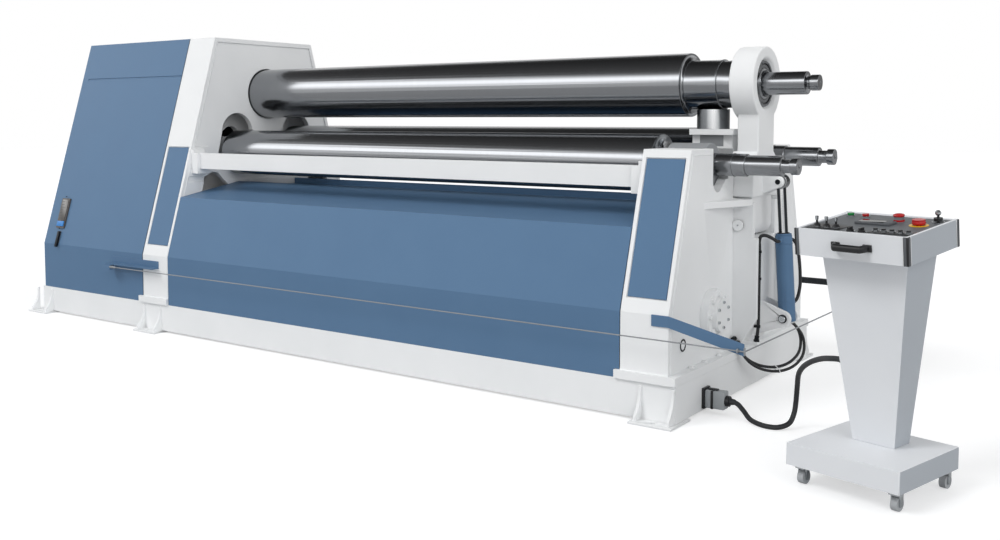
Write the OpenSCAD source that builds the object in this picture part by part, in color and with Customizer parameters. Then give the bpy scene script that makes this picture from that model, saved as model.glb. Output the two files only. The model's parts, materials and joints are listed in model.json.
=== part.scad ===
// Hydraulic plate rolling machine with three rolls, a drop end and a console on casters.
// X runs along the rolls, Y to the rear and Z up, in millimetres.

/* [Rolls] */
// Length of the top roll between the stands
barrel_len = 3100; // [1500:10:3600]
// Radius of the top roll
top_r = 159; // [120:1:165]
// Radius of the side rolls
side_r = 141; // [100:1:145]
// Height of the top roll's axis
roll_z = 1490; // [1450:1:1520]
// Radius of the side rolls' journals
journal_r = 53; // [40:1:56]
// Radius of the top roll's neck at the drop end
neck_r = 121; // [115:1:125]
// Running clearance of shafts in their bores
fit = 0.05; // [0.02:0.01:0.1]

/* [Swing arms] */
// Distance of each arm's pivot from the middle plane
pivot_y = 406; // [395:1:415]
// Height of the arms' pivots
pivot_z = 425; // [415:1:435]
// Distance from the pivot to the side roll's axis
arm_len = 956; // [945:1:965]
// Angle of the front roll's arm above level
front_angle = 45.5; // [43:0.5:50]
// Angle of the rear roll's arm above level
rear_angle = 48; // [43:0.5:50]
// Thickness of an arm
arm_t = 60; // [40:1:62]
// Radius of the torsion shafts
torsion_r = 60; // [40:1:70]
// Radius of the bearing housings at the arms' ends
housing_r = 100; // [85:1:102]
// Sideways offset of a housing from the roll's axis
housing_shift = 35; // [10:1:36]

/* [Stands] */
// Y of the front face
front_y = -835; // [-900:1:-800]
// Y of the rear face
rear_y = 803; // [780:1:900]
// Height where the faces begin to lean
knee_z = 474.5; // [440:1:500]
// Lean of the faces in degrees from upright
lean = 16.29; // [12:0.01:17]
// Height of the tall stand and the cabinet
tall_z = 1840; // [1800:1:1900]
// Height of the drop end's stand
low_z = 1184.5; // [1180:0.5:1190]
// Thickness of the stand plates
plate_t = 45; // [35:1:46]
// Width of the tall stand
tall_w = 243; // [240:1:260]
// Width of the drop end's stand
low_w = 236; // [234:1:240]
// Gap from the top roll's shoulder to the drop end's stand
shoulder_gap = 57; // [50:1:70]
// Thickness of the front and rear skins of a stand
skin_t = 30; // [15:1:35]
// Depth of the recess for an inset panel
recess = 10; // [6:1:12]

/* [Base] */
// Underside of the base above the floor
base_lift = 12; // [8:1:20]
// Top of the base
base_z = 176; // [150:1:180]
// Top of the ledge plates that carry the stands
ledge_z = 214.5; // [200:0.5:220]
// Length of the cabinet beyond the tall stand
cabinet_len = 1091; // [800:1:1300]
// Width of a foot plate
foot_w = 210; // [150:1:240]
// Reach of a foot plate beyond the base
foot_out = 72; // [50:1:90]
// Radius of the anchor holes
anchor_r = 11; // [8:0.5:14]

/* [Covers and cabinet] */
// Sheet thickness of the covers
sheet_t = 4; // [2:0.5:6]
// Height of the covers' outer ridge
ridge_z = 838; // [800:1:850]
// Height of the covers' inner edge
cover_top_z = 917; // [900:1:920]
// Distance of the covers' inner edge from the middle of the machine
cover_gap_y = 246; // [235:1:260]
// Height of the lip on the covers' inner edge
lip_h = 37; // [20:1:45]
// Wall of the cabinet
cabinet_t = 6; // [5:0.5:8]

/* [Drop end] */
// X of the drop bearing's inner face beyond the shoulder
yoke_gap = 268; // [266:1:272]
// Width of the bearing ring along the roll
ring_w = 123; // [110:1:125]
// Outer radius of the bearing ring
ring_r = 178; // [170:1:185]
// Radius of the ring's bore at its inner face
cone_r = 122; // [118:1:124]
// Height of the drop end's hinge
hinge_z = 815; // [800:1:830]
// Radius of the hinge pin
hinge_pin_r = 22; // [15:1:30]
// Half width of the drop bearing's body
yoke_half_y = 152; // [140:1:153]
// Radius of the tilt cylinder's barrel
tilt_r = 40; // [30:1:41]
// Radius of the tilt cylinder's rod
tilt_rod_r = 22; // [15:1:24]
// Radius of the tilt cylinder's pins
tilt_pin_r = 14; // [10:1:16]
// Radius of the support piston
piston_r = 80; // [60:1:82]
// Travel of the support piston
piston_travel = 25; // [10:1:25]

/* [Console] */
// X of the console's centre
console_x = 4329; // [4100:1:4600]
// Y of the console's centre
console_y = -1093; // [-1300:1:-1000]
// Turn of the console
console_turn = -13.6; // [-30:0.1:0]
// Width of the console's base
desk_base_w = 436; // [400:1:480]
// Depth of the console's base
desk_base_d = 419; // [400:1:460]
// Width of the console's desk
desk_w = 425; // [400:1:460]
// Depth of the console's desk
desk_d = 353; // [330:1:380]
// Height of the desk's side
desk_h = 98; // [80:1:120]
// Slope of the desk
desk_tilt = 6.5; // [0:0.5:12]
// Height of the desk's lower front edge
desk_z = 834; // [780:1:880]
// Radius of the caster wheels
caster_r = 25; // [20:1:30]

/* [Hidden] */
$fn = 96;
tiny = 0.5;
low_x = barrel_len + shoulder_gap;
low_end = low_x + low_w;
base_x0 = -tall_w - cabinet_len - 26;
base_x1 = low_end + 37;
mid_y = (front_y + rear_y) / 2;
function slope_y(z) = front_y + (z - knee_z) * tan(lean);

// Outline of a stand of height top, drawn in by i, with its foot at bottom
function stand_outline(top, bottom, i) = let (
        face = knee_z - i * tan(lean / 2),
        crown = slope_y(top) + i * (1 - sin(lean)) / cos(lean)
    ) [
        [front_y + i, bottom], [front_y + i, face], [crown, top - i],
        [2 * mid_y - crown, top - i], [rear_y - i, face], [rear_y - i, bottom]
    ];

// Points of the arms: the roll axes and the eyes of the lift cylinders
front_axis = [pivot_y - arm_len * cos(front_angle), pivot_z + arm_len * sin(front_angle)];
rear_axis = [-pivot_y + arm_len * cos(rear_angle), pivot_z + arm_len * sin(rear_angle)];
lug_along = 640;
lug_below = 108;
front_lug = [
    pivot_y - lug_along * cos(front_angle) - lug_below * sin(front_angle),
    pivot_z + lug_along * sin(front_angle) - lug_below * cos(front_angle)
];
rear_lug = [
    -pivot_y + lug_along * cos(rear_angle) + lug_below * sin(rear_angle),
    pivot_z + lug_along * sin(rear_angle) - lug_below * cos(rear_angle)
];
swing_low = 42;
swing_high = 54;
housing_len = sqrt(pow(arm_len, 2) + 2 * arm_len * housing_shift * cos(45) + pow(housing_shift, 2));
housing_turn = asin(housing_shift * sin(45) / housing_len);
pivot_half = 95;
end_half = 48;
arm_ring_r = journal_r + 22;
sleeve_r = journal_r + 17;
notch_r = 58;

// X places of the arms' layers, both stands
front_layer = [-190, low_x + plate_t + 8];
rear_layer = [-122, low_x + plate_t + 76];
lift_r = 32;
lift_rod_r = 13;
lift_pin_r = 14;
lug_pin_r = 12;
lift_foot_z = 250;
lift_top = 430;

// Drop end
yoke_x0 = barrel_len + yoke_gap;
yoke_x1 = yoke_x0 + ring_w;
body_x0 = yoke_x0 - 5;
hinge_x = yoke_x0 + 52;
tongue_r = 55;
cone_end = cone_r - 10.8;
cone_x = yoke_x1 - 20;
ear = [yoke_x1 + 77, hinge_z + 206];
foot_pin = [yoke_x1 + 118, hinge_z - 446];
tilt_len = norm(ear - foot_pin);
tilt_lean = atan2(foot_pin[0] - ear[0], ear[1] - foot_pin[1]);
tilt_top = 395;
piston_x = yoke_x0 - 153;
stem_r = 42;
pocket_z = low_z + 2;
cap_z0 = 1243;
cap_z1 = 1271;
pedestal_y = 155;
pedestal_x1 = yoke_x1 + 24;
journal_top_r = 75;

// Bounding box of the whole machine, whose middle is the origin
box_x0 = base_x0 + 30 - foot_w / 2;
box_x1 = console_x + cos(console_turn) * desk_base_w / 2 - sin(console_turn) * desk_base_d / 2;
box_y0 = console_y + sin(console_turn) * desk_base_w / 2 - cos(console_turn) * desk_base_d / 2;
box_y1 = rear_y + foot_out;

paint_white = [0.90, 0.91, 0.91];
paint_blue = [0.37, 0.48, 0.62];
steel = [0.78, 0.79, 0.80];
dark = [0.12, 0.12, 0.13];
grey = [0.55, 0.56, 0.57];

// Moves the machine so that the middle of its box stands on the origin
module placed() translate([-(box_x0 + box_x1) / 2, -(box_y0 + box_y1) / 2, 0]) children();

// Extrudes an outline of Y and Z from x0 to x1
module yz(x0, x1) translate([x0, 0, 0]) rotate([90, 0, 90]) linear_extrude(x1 - x0) children();

// Extrudes an outline of X and Z from y0 to y1
module xz(y0, y1) translate([0, y1, 0]) rotate([90, 0, 0]) linear_extrude(y1 - y0) children();

// Extrudes an outline of X and Y from z0 to z1
module xy(z0, z1) translate([0, 0, z0]) linear_extrude(z1 - z0) children();

module block(a, b) translate(a) cube(b - a);

// Round bar along X on the axis at [y, z]
module bar_x(x0, x1, axis, r, r2 = 0) translate([x0, axis[0], axis[1]]) rotate([0, 90, 0])
    cylinder(h = x1 - x0, r1 = r, r2 = r2 > 0 ? r2 : r);

// Round bar along Y on the axis at [x, z]
module bar_y(y0, y1, axis, r) translate([axis[0], y1, axis[1]]) rotate([90, 0, 0])
    cylinder(h = y1 - y0, r = r);

// Copies the children to the rear, mirrored in the machine's middle plane
module both_faces() {
    children();
    translate([0, 2 * mid_y, 0]) mirror([0, 1, 0]) children();
}

// Puts the children on the leaning front face, s up the slope and d into it
module on_slope(x, s, d) translate([x, front_y, knee_z]) rotate([-lean, 0, 0]) translate([0, d, s])
    children();

// Outline swept by a circle of radius r on an arm of length len between two angles.
// The arcs stay a little inside the end circles, so that no edge is tangent to another.
module swing_path(len, r, a0, a1) {
    for (a = [a0, a1]) translate([pivot_y - len * cos(a), pivot_z + len * sin(a)]) circle(r);
    translate([pivot_y, pivot_z]) intersection() {
        difference() {
            circle(len + r - tiny);
            circle(len - r + tiny);
        }
        polygon([[0, 0], [-2000 * cos(a0), 2000 * sin(a0)], [-2000 * cos(a1), 2000 * sin(a1)]]);
    }
}

// Outline of an arm in its own frame, pivot at the origin
module arm_outline() {
    circle(pivot_half + 15);
    polygon([[0, -pivot_half], [arm_len, -end_half], [arm_len, end_half], [0, pivot_half]]);
    translate([arm_len, 0]) circle(arm_ring_r);
}
module rear_frame(a) translate([-pivot_y, pivot_z]) rotate(a) children();
module front_frame(a) mirror([1, 0]) rear_frame(a) children();

// Ring of hexagon heads on a face that looks along +X
module bolt_ring_x(x, axis, pcd_r, n, r, h) for (i = [0:n - 1])
    translate([x, axis[0] + pcd_r * cos(360 * i / n), axis[1] + pcd_r * sin(360 * i / n)])
        rotate([0, 90, 0]) cylinder(h = h, r = r, $fn = 6);

// Cord sweep: a smooth curve through the route, eight sides
function spline(p, i, t) = let (
        a = p[max(i - 1, 0)], b = p[i], c = p[i + 1], d = p[min(i + 2, len(p) - 1)]
    ) 0.5 * (2 * b + (c - a) * t + (2 * a - 5 * b + 4 * c - d) * t * t
        + (3 * b - a - 3 * c + d) * t * t * t);
function route(p, n) = concat(
    [for (i = [0:len(p) - 2]) for (k = [0:n - 1]) spline(p, i, k / n)], [p[len(p) - 1]]);
function unit(v) = v / norm(v);
function tangent(q, i) = unit(q[min(i + 1, len(q) - 1)] - q[max(i - 1, 0)]);
function carried(v, t) = unit(v - (v * t) * t);
function frames(q, v, i = 0) = i >= len(q) ? []
    : let (n = carried(v, tangent(q, i))) concat([n], frames(q, n, i + 1));
module tube(p, r, n, up = [0.1, 0.2, 1], sides = 8) {
    q = route(p, n);
    f = frames(q, up);
    points = [for (i = [0:len(q) - 1]) let (t = tangent(q, i), m = cross(t, f[i]))
        for (k = [0:sides - 1]) q[i] + r * (cos(360 * k / sides) * f[i] + sin(360 * k / sides) * m)];
    walls = [for (i = [0:len(q) - 2]) for (k = [0:sides - 1])
        [i * sides + k, i * sides + (k + 1) % sides,
            (i + 1) * sides + (k + 1) % sides, (i + 1) * sides + k]];
    last = (len(q) - 1) * sides;
    polyhedron(points, concat(
        [for (w = walls) [w[3], w[2], w[1], w[0]]],
        [[for (k = [0:sides - 1]) k]],
        [[for (k = [sides - 1:-1:0]) last + k]]));
}

// Foot of the base: plate on the floor and two curved gussets, anchor hole through the plate
module foot(x) {
    tip = front_y - foot_out;
    difference() {
        block([x - foot_w / 2, tip, 0], [x + foot_w / 2, front_y + 120, base_lift]);
        translate([x, front_y - foot_out / 2, -1]) cylinder(h = base_lift + 2, r = anchor_r);
    }
    for (side = [-1, 1])
        yz(x + side * (foot_w / 2 - 26) - 8, x + side * (foot_w / 2 - 26) + 8)
            difference() {
                translate([front_y - foot_out + 14, base_lift]) square([foot_out - 14, 148]);
                translate([front_y - 160, 140]) circle(r = 150);
            }
}

module base_frame() color(paint_white) placed() {
    block([base_x0, front_y, base_lift], [base_x1, rear_y, base_z]);
    both_faces() for (x = [base_x0 + 30, -tall_w / 2 - 34, low_end - 53]) foot(x);
}

module ledge_plates() color(paint_white) placed() {
    both_faces() for (x = [-tall_w - 32, low_x - 25]) block(
        [x, front_y - 15, base_z], [x + (x < 0 ? tall_w + 32 : low_w + 65), mid_y, ledge_z]);
    for (k = [0, 1]) for (side = [-1, 1]) for (spec = [
            [front_layer[k], front_lug[0]], [rear_layer[k], rear_lug[0]]])
        difference() {
            block([spec[0] + arm_t / 2 + side * 20 - 7, spec[1] - 30, ledge_z],
                [spec[0] + arm_t / 2 + side * 20 + 7, spec[1] + 30, lift_foot_z + 30]);
            bar_x(spec[0] - 5, spec[0] + arm_t + 5, [spec[1], lift_foot_z], lift_pin_r);
        }
    for (k = [0, 1]) for (spec = [[front_layer[k], front_lug[0]], [rear_layer[k], rear_lug[0]]])
        bar_x(spec[0] + 1, spec[0] + arm_t - 1, [spec[1], lift_foot_z], lift_pin_r);
    for (y = [-641, -503, -339]) translate([low_end + 20, y, ledge_z]) cylinder(h = 12, r = 13, $fn = 6);
}

// Hollow stand: two side plates joined by skins at the front, the rear and on top
module stand_shell(x0, x1, top) difference() {
    yz(x0, x1) polygon(stand_outline(top, ledge_z, 0));
    yz(x0 + plate_t, x1 - plate_t) difference() {
        polygon(stand_outline(top, ledge_z - 1, skin_t));
    }
    both_faces() on_slope(x0 + 20, 66, -1) cube([x1 - x0 - 40, recess + 1, 635]);
}

module left_stand() color(paint_white) placed() difference() {
    stand_shell(-tall_w, 0, tall_z);
    bar_x(-plate_t - 1, 1, [0, roll_z], top_r + 6);
    bar_x(-tall_w - 1, -tall_w + plate_t + 1, [0, roll_z], 100 + fit);
    for (side = [0, 1]) mirror([0, side, 0]) {
        bar_x(-tall_w - 1, 1, [pivot_y, pivot_z], torsion_r + fit);
        yz(-tall_w - 1, -tall_w + plate_t + 1) swing_path(arm_len, sleeve_r + 5, swing_low, swing_high);
        yz(-plate_t - 1, 1) {
            swing_path(arm_len, journal_r + 5, swing_low, swing_high);
            translate(front_axis) {
                translate([4, 126]) circle(127);
                polygon([[-123, 126], [-154, 1], [-140, -107], [14, -117], [131, 43], [131, 126]]);
                polygon([[-303, -272], [-270, -150], [-203, -122], [-160, -132], [-18, -274]]);
            }
        }
    }
    both_faces() yz(-6, 1) difference() {
        intersection() {
            polygon(stand_outline(tall_z, ledge_z, 24));
            translate([front_y, ridge_z + 90]) square([mid_y - front_y, tall_z]);
        }
        translate([front_y, 960]) square([330, 190]);
    }
}

module right_stand() color(paint_white) placed() {
    difference() {
        stand_shell(low_x, low_end, low_z);
        block([low_x + plate_t, -430, low_z - skin_t - 1], [low_end - plate_t, 430, low_z + 1]);
        block([low_end - plate_t - 1, -pedestal_y - 3, ledge_z - 1],
            [low_end + 1, pedestal_y + 3, low_z + 1]);
        for (side = [0, 1]) mirror([0, side, 0]) {
            bar_x(low_x - 1, low_end + 1, [pivot_y, pivot_z], torsion_r + fit);
            yz(low_x - 1, low_x + plate_t + 1) {
                swing_path(housing_len, housing_r + 6, swing_low - housing_turn,
                    swing_high - housing_turn);
                translate(front_axis + [-136, 23]) square([300, low_z - front_axis[1]]);
            }
            yz(low_end - plate_t - 1, low_end + 1) {
                swing_path(arm_len, journal_r + 4, swing_low, swing_high);
                translate(front_axis + [-71, -67]) {
                    circle(notch_r);
                    translate([-notch_r, 0]) square([170, low_z - front_axis[1] + 80]);
                }
            }
        }
    }
    for (side = [0, 1]) mirror([0, side, 0]) xy(912, 943)
        polygon([[low_end, -489], [yoke_x1, -190], [yoke_x1, -pedestal_y - 3], [low_end, -pedestal_y - 3]]);
    both_faces() bar_x(low_end, low_end + 4, [-701, 328], 29);
}

module inset_panels() color(paint_blue) placed() both_faces() {
    on_slope(-tall_w + 24, 70, 2) cube([tall_w - 48, recess - 2, 627]);
    on_slope(low_x + 24, 70, 2) cube([low_w - 48, recess - 2, 627]);
}

module front_beam() color(paint_white) placed() {
    block([60, -620, 1010], [barrel_len, -560, 1108]);
    for (end = [[0, 60], [barrel_len, low_x]]) difference() {
        block([end[0], -640, 980], [end[1], -545, 1130]);
        block([end[0] + (end[0] == 0 ? 20 : -1), -641, 1109], [end[1] + (end[0] == 0 ? 1 : -20), -544, 1131]);
    }
}

// Sheet cover from the base to the knee, up the slope and over to the rolls
module cover_outline() {
    ridge_y = slope_y(ridge_z);
    inner_y = mid_y - cover_gap_y;
    polygon([
        [front_y, base_z], [front_y, knee_z], [ridge_y, ridge_z], [inner_y, cover_top_z],
        [inner_y, cover_top_z - lip_h], [inner_y - sheet_t, cover_top_z - lip_h],
        [inner_y - sheet_t, cover_top_z - sheet_t * 1.2], [ridge_y + sheet_t, ridge_z - sheet_t],
        [front_y + sheet_t, knee_z], [front_y + sheet_t, base_z]
    ]);
}
module cover() difference() {
    yz(3, low_x - 3) cover_outline();
    block([low_x - 26, front_y - 20, base_z - 1], [low_x, mid_y, ledge_z + 1]);
}

module front_cover() color(paint_blue) placed() cover();

// Rear cover with the scale tray between the two covers
module rear_cover() color(paint_blue) placed() {
    translate([0, 2 * mid_y, 0]) mirror([0, 1, 0]) cover();
    block([3, mid_y - cover_gap_y - sheet_t, cover_top_z - lip_h - sheet_t],
        [low_x - 3, mid_y + cover_gap_y + sheet_t, cover_top_z - lip_h]);
}

module drive_cabinet() color(paint_blue) placed() difference() {
    yz(-tall_w - cabinet_len, -tall_w) polygon(stand_outline(tall_z, base_z, 0));
    yz(-tall_w - cabinet_len + cabinet_t, -tall_w + 1)
        polygon(stand_outline(tall_z, base_z - 1, cabinet_t));
    block([-tall_w - 33, front_y - 16, base_z - 1], [-tall_w + 1, rear_y + 16, ledge_z + tiny]);
    both_faces() on_slope(-tall_w - cabinet_len + 67, 1161, -1) cube([cabinet_len - 73, 5, 12]);
}

// Oil level gauge and the latch below it, on the leaning front of the cabinet
module level_gauge() color(grey) placed() {
    on_slope(-tall_w - cabinet_len + 109, 111, -10) cube([89, 10, 205]);
    on_slope(-tall_w - cabinet_len + 150, 8, -7) cube([18, 7, 80]);
}

module pivot_flanges() color(paint_white) placed() for (side = [-1, 1]) {
    axis = [side * pivot_y, pivot_z];
    bar_x(low_end, low_end + 40, axis, 116);
    bar_x(low_end + 40, low_end + 64, axis, 78);
    bolt_ring_x(low_end + 40, axis, 97, 8, 13, 12);
}

module support_tower() color(paint_white) placed() difference() {
    union() {
        block([low_x - 26, -60, low_z], [yoke_x0 - 25, 60, cap_z0]);
        yz(low_x + plate_t, yoke_x0 - 25)
            polygon([[-60, low_z], [-60, low_z - 7], [0, low_z - 85], [60, low_z - 7], [60, low_z]]);
        block([low_x - 31, -88, cap_z0], [yoke_x0 - 11, 88, cap_z1]);
    }
    translate([piston_x, 0, cap_z0]) cylinder(h = 40, r = piston_r + 0.5);
    translate([piston_x, 0, pocket_z]) cylinder(h = 100, r = stem_r + fit);
}

module support_piston() color(steel) placed() translate([piston_x, 0, 0]) {
    translate([0, 0, cap_z1 - 1]) cylinder(h = roll_z - neck_r - 0.5 - cap_z1 + 1, r = piston_r);
    translate([0, 0, pocket_z + piston_travel + 2])
        cylinder(h = cap_z1 - pocket_z - piston_travel - 2, r = stem_r);
}

// Welded pedestal of the drop end with the fixed cheeks of the hinge
module pedestal_outline(x1) polygon([
    [yoke_x0 - 4, ledge_z], [yoke_x0 + 59, ledge_z], [yoke_x0 + 59, ledge_z + 12],
    [x1, ledge_z + 12 + (x1 - yoke_x0 - 59) * 1.636], [x1, hinge_z - 58], [yoke_x0 - 4, hinge_z - 58]
]);
module yoke_pedestal() color(paint_white) placed() {
    xz(-pedestal_y + 20, pedestal_y - 20) pedestal_outline(pedestal_x1 - 25);
    block([yoke_x0 + 57, -122, ledge_z + 21], [pedestal_x1 - 3, -98, ledge_z + 41]);
    for (side = [0, 1]) mirror([0, side, 0]) {
        xz(-pedestal_y, -pedestal_y + 20) pedestal_outline(pedestal_x1);
        difference() {
            xz(-pedestal_y, -pedestal_y + 30) translate([body_x0, hinge_z - 58])
                square([yoke_x1 - body_x0, 168]);
            bar_y(-pedestal_y - 1, -pedestal_y + 31, [hinge_x, hinge_z], hinge_pin_r);
        }
        difference() {
            xz(-57, -42) {
                polygon([
                    [pedestal_x1 - 25, 452], [foot_pin[0] + 12, foot_pin[1] + 36],
                    [foot_pin[0] + 22, foot_pin[1] - 31], [pedestal_x1 - 60, 272],
                    [pedestal_x1 - 25, 331]
                ]);
                translate(foot_pin) circle(38);
            }
            bar_y(-58, -41, foot_pin, tilt_pin_r);
        }
    }
}

// Hinge pin of the drop bearing and foot pin of the tilt cylinder
module drop_end_pins() color(dark) placed() {
    bar_y(-pedestal_y, pedestal_y, [hinge_x, hinge_z], hinge_pin_r);
    for (y = [-pedestal_y - 8, pedestal_y]) bar_y(y, y + 8, [hinge_x, hinge_z], hinge_pin_r + 4);
    bar_y(-57, 57, foot_pin, tilt_pin_r);
    for (y = [-65, 57]) bar_y(y, y + 8, foot_pin, tilt_pin_r + 7);
}

// Drop bearing: ring with a conical bore, column, body and hinged tongue
module yoke() color(paint_white) placed() {
    difference() {
        union() {
            bar_x(yoke_x0, yoke_x1, [0, roll_z], ring_r);
            block([yoke_x0 + 15, -99, 1150], [yoke_x1, 99, roll_z - 110]);
            yz(body_x0, yoke_x1) polygon([
                [-yoke_half_y, hinge_z + 135], [yoke_half_y, hinge_z + 135],
                [yoke_half_y, 1125], [99, 1165], [-99, 1165], [-yoke_half_y, 1125]
            ]);
            xz(-124, 124) {
                translate([hinge_x - tongue_r, hinge_z]) square([2 * tongue_r, 140]);
                translate([hinge_x, hinge_z]) circle(tongue_r);
            }
        }
        bar_x(yoke_x0 - tiny, cone_x, [0, roll_z], cone_r + tiny * 0.105, cone_end);
        bar_x(cone_x - tiny, yoke_x1 + 1, [0, roll_z], cone_end + 0.3, 128);
        bar_y(-125, 125, [hinge_x, hinge_z], hinge_pin_r + fit);
    }
    for (side = [0, 1]) mirror([0, side, 0]) xz(-42, -24) {
        translate([yoke_x1, ear[1] - 60]) polygon([
            [0, 0], [ear[0] - yoke_x1 + 10, 34], [ear[0] - yoke_x1 + 10, 86], [0, 120]]);
        translate(ear) circle(28);
    }
    bar_y(-48, 48, ear, tilt_pin_r);
}

module bearing_cartridge() color(dark) placed() difference() {
    bar_x(yoke_x0 + 1, cone_x, [0, roll_z], cone_r - 0.5, cone_end - 0.4);
    bar_x(yoke_x0, cone_x + 1, [0, roll_z], journal_top_r + fit);
}

module tilt_frame() translate([foot_pin[0], 0, foot_pin[1]]) rotate([0, -tilt_lean, 0]) children();

module tilt_barrel() color(paint_blue) placed() tilt_frame() difference() {
    union() {
        translate([0, 0, -18]) cylinder(h = tilt_top + 18, r = tilt_r);
        for (z = [58, tilt_top - 24]) translate([0, 62, z]) rotate([90, 0, 0]) cylinder(h = 40, r = 10);
        translate([0, -38, tilt_top - 24]) rotate([90, 0, 0]) cylinder(h = 24, r = 10);
    }
    rotate([90, 0, 0]) cylinder(h = 200, r = tilt_pin_r + fit, center = true);
    translate([0, 0, 70]) cylinder(h = tilt_top, r = tilt_rod_r + fit);
}

module tilt_rod() color(steel) placed() tilt_frame() difference() {
    union() {
        translate([0, 0, 245]) cylinder(h = tilt_len - 245, r = tilt_rod_r);
        translate([0, 23, tilt_len]) rotate([90, 0, 0]) cylinder(h = 46, r = 36);
    }
    translate([0, 30, tilt_len]) rotate([90, 0, 0]) cylinder(h = 60, r = tilt_pin_r + 9.5);
}

module barrel_hose() color(dark) placed() tube(barrel_hose_route, 8, 2);
barrel_hose_route = [
    [3585.7, 62.9, 739.3], [3585.7, 71, 739.3], [3588, 86, 739], [3600, 104, 728],
    [3612, 112, 700], [3622, 116, 640], [3628, 118, 560], [3628, 116, 500], [3620, 104, 448],
    [3608, 86, 428], [3605.4, 71, 426.9], [3605.4, 62.9, 426.9]
];
module tilt_hoses() color(dark) placed() {
    for (shift = [0, 18]) translate([-shift, 0, shift]) tube(sag_route, 7, 2);
}
sag_route = [
    [3428, -155.7, 250], [3428, -165, 250], [3434, -183, 247], [3458, -192, 216],
    [3490, -158, 160], [3530, -92, 120], [3572, 0, 100], [3612, 76, 112], [3640, 124, 152],
    [3648, 138, 206], [3638, 134, 262], [3612, 118, 306], [3584, 92, 338], [3576, 70, 345],
    [3576, 57.7, 345]
];
module yoke_hose() color(dark) placed() tube(yoke_hose_route, 8, 2);
yoke_hose_route = [
    [3585.7, -62.9, 739.3], [3585.7, -70, 739.3], [3582, -83, 742], [3566, -98, 756],
    [3540, -108, 768], [3516, -110, 764], [3502, -110, 742], [3500, -110, 700],
    [3500, -110, 600], [3500, -110, 500], [3500, -110, 400], [3500, -110, 320],
    [3500, -110, 255.5]
];

module top_roll() color(steel) placed() {
    axis = [0, roll_z];
    bar_x(-20, barrel_len, axis, top_r);
    bar_x(-60, -20, axis, 112);
    bar_x(-tall_w - 16.5, -60, axis, 100);
    bar_x(barrel_len, yoke_x0 - 91, axis, neck_r);
    bar_x(yoke_x0 - 91, yoke_x0, axis, neck_r - 5);
    bar_x(yoke_x0, cone_x + 7, axis, journal_top_r);
    bar_x(cone_x + 7, cone_x + 218, axis, 55);
    bar_x(cone_x + 218, cone_x + 236, axis, 31);
    bar_x(cone_x + 236, cone_x + 277, axis, 37.5);
}

// Planetary gear unit and motor of one roll, behind the face at x
module gearmotor(x, axis, r) {
    bar_x(x - 120, x, axis, r);
    bar_x(x - 300, x - 120, axis, r * 0.84);
    bar_x(x - 420, x - 300, axis, r * 0.6);
    bolt_ring_x(x - 132, axis, r * 0.92, 12, 8, 12);
}
module top_gearmotor() color(grey) placed() {
    axis = [0, roll_z];
    difference() {
        bar_x(-tall_w - 17, -tall_w, axis, 165);
        bar_x(-tall_w - 18, -tall_w + 1, axis, 101);
    }
    gearmotor(-tall_w - 17, axis, 150);
}

// Side rolls turn in the housings of their arms
module side_roll(axis) {
    bar_x(5, barrel_len - 25, axis, side_r);
    bar_x(-tall_w - 56.5, 5, axis, journal_r);
    bar_x(barrel_len - 25, barrel_len + 407, axis, journal_r);
    bar_x(barrel_len + 407, barrel_len + 575, axis, journal_r - 6);
    bar_x(barrel_len + 575, barrel_len + 615, axis, 31);
    bar_x(barrel_len + 615, barrel_len + 649, axis, 39);
}
module front_roll() color(steel) placed() side_roll(front_axis);
module rear_roll() color(steel) placed() side_roll(rear_axis);

// One swing arm on each stand, joined by a torsion shaft, with the roll's gearmotor
module arm_pair(layer, axis, shaft_y, front) {
    difference() {
        union() {
            for (x = layer) yz(x, x + arm_t) arm_side(front) arm_outline();
            for (span = [[-194, -50], [low_x - 11, low_end - plate_t - 4]])
                yz(span[0], span[1]) arm_side(front) rotate(-housing_turn) translate([housing_len, 0])
                    circle(housing_r);
            bar_x(-tall_w - 57, -190, axis, sleeve_r);
            bar_x(-tall_w, low_end, [shaft_y, pivot_z], torsion_r);
            for (x = layer) for (edge = [2, arm_t - 16]) yz(x + edge, x + edge + 14) arm_side(front) {
                polygon([[580, -40], [700, -40], [668, -lug_below], [612, -lug_below]]);
                translate([lug_along, -lug_below]) circle(28);
            }
        }
        bar_x(-tall_w - 60, low_end, axis, journal_r + fit);
    }
    for (x = layer) yz(x + 2, x + arm_t - 2) arm_side(front) translate([lug_along, -lug_below])
        circle(lug_pin_r);
    gearmotor(-tall_w - 57, axis, 104);
}
module arm_side(front) {
    if (front) front_frame(front_angle) children();
    else rear_frame(rear_angle) children();
}
module front_arm() color(grey) placed() arm_pair(front_layer, front_axis, pivot_y, true);
module rear_arm() color(grey) placed() arm_pair(rear_layer, rear_axis, -pivot_y, false);

// Lift cylinders stand upright at rest, one on each stand
module lift_barrel(x, y) difference() {
    union() {
        translate([x, y, lift_foot_z + 40]) cylinder(h = lift_top - 40, r = lift_r);
        yz(x - 12, x + 12) {
            translate([y, lift_foot_z]) circle(26);
            translate([y - 26, lift_foot_z]) square([52, 41]);
        }
    }
    bar_x(x - 13, x + 13, [y, lift_foot_z], lift_pin_r + fit);
    translate([x, y, lift_foot_z + 105]) cylinder(h = lift_top, r = lift_rod_r + fit);
}
module lift_rod(x, eye) difference() {
    union() {
        translate([x, eye[0], lift_foot_z + 170]) cylinder(h = eye[1] - lift_foot_z - 190, r = lift_rod_r);
        yz(x - 11, x + 11) translate(eye) circle(26);
    }
    bar_x(x - 12, x + 12, eye, lug_pin_r + 2);
}
module front_lift_barrels() color(paint_blue) placed()
    for (x = front_layer) lift_barrel(x + arm_t / 2, front_lug[0]);
module front_lift_rods() color(steel) placed()
    for (x = front_layer) lift_rod(x + arm_t / 2, front_lug);
module rear_lift_barrels() color(paint_blue) placed()
    for (x = rear_layer) lift_barrel(x + arm_t / 2, rear_lug[0]);
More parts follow.
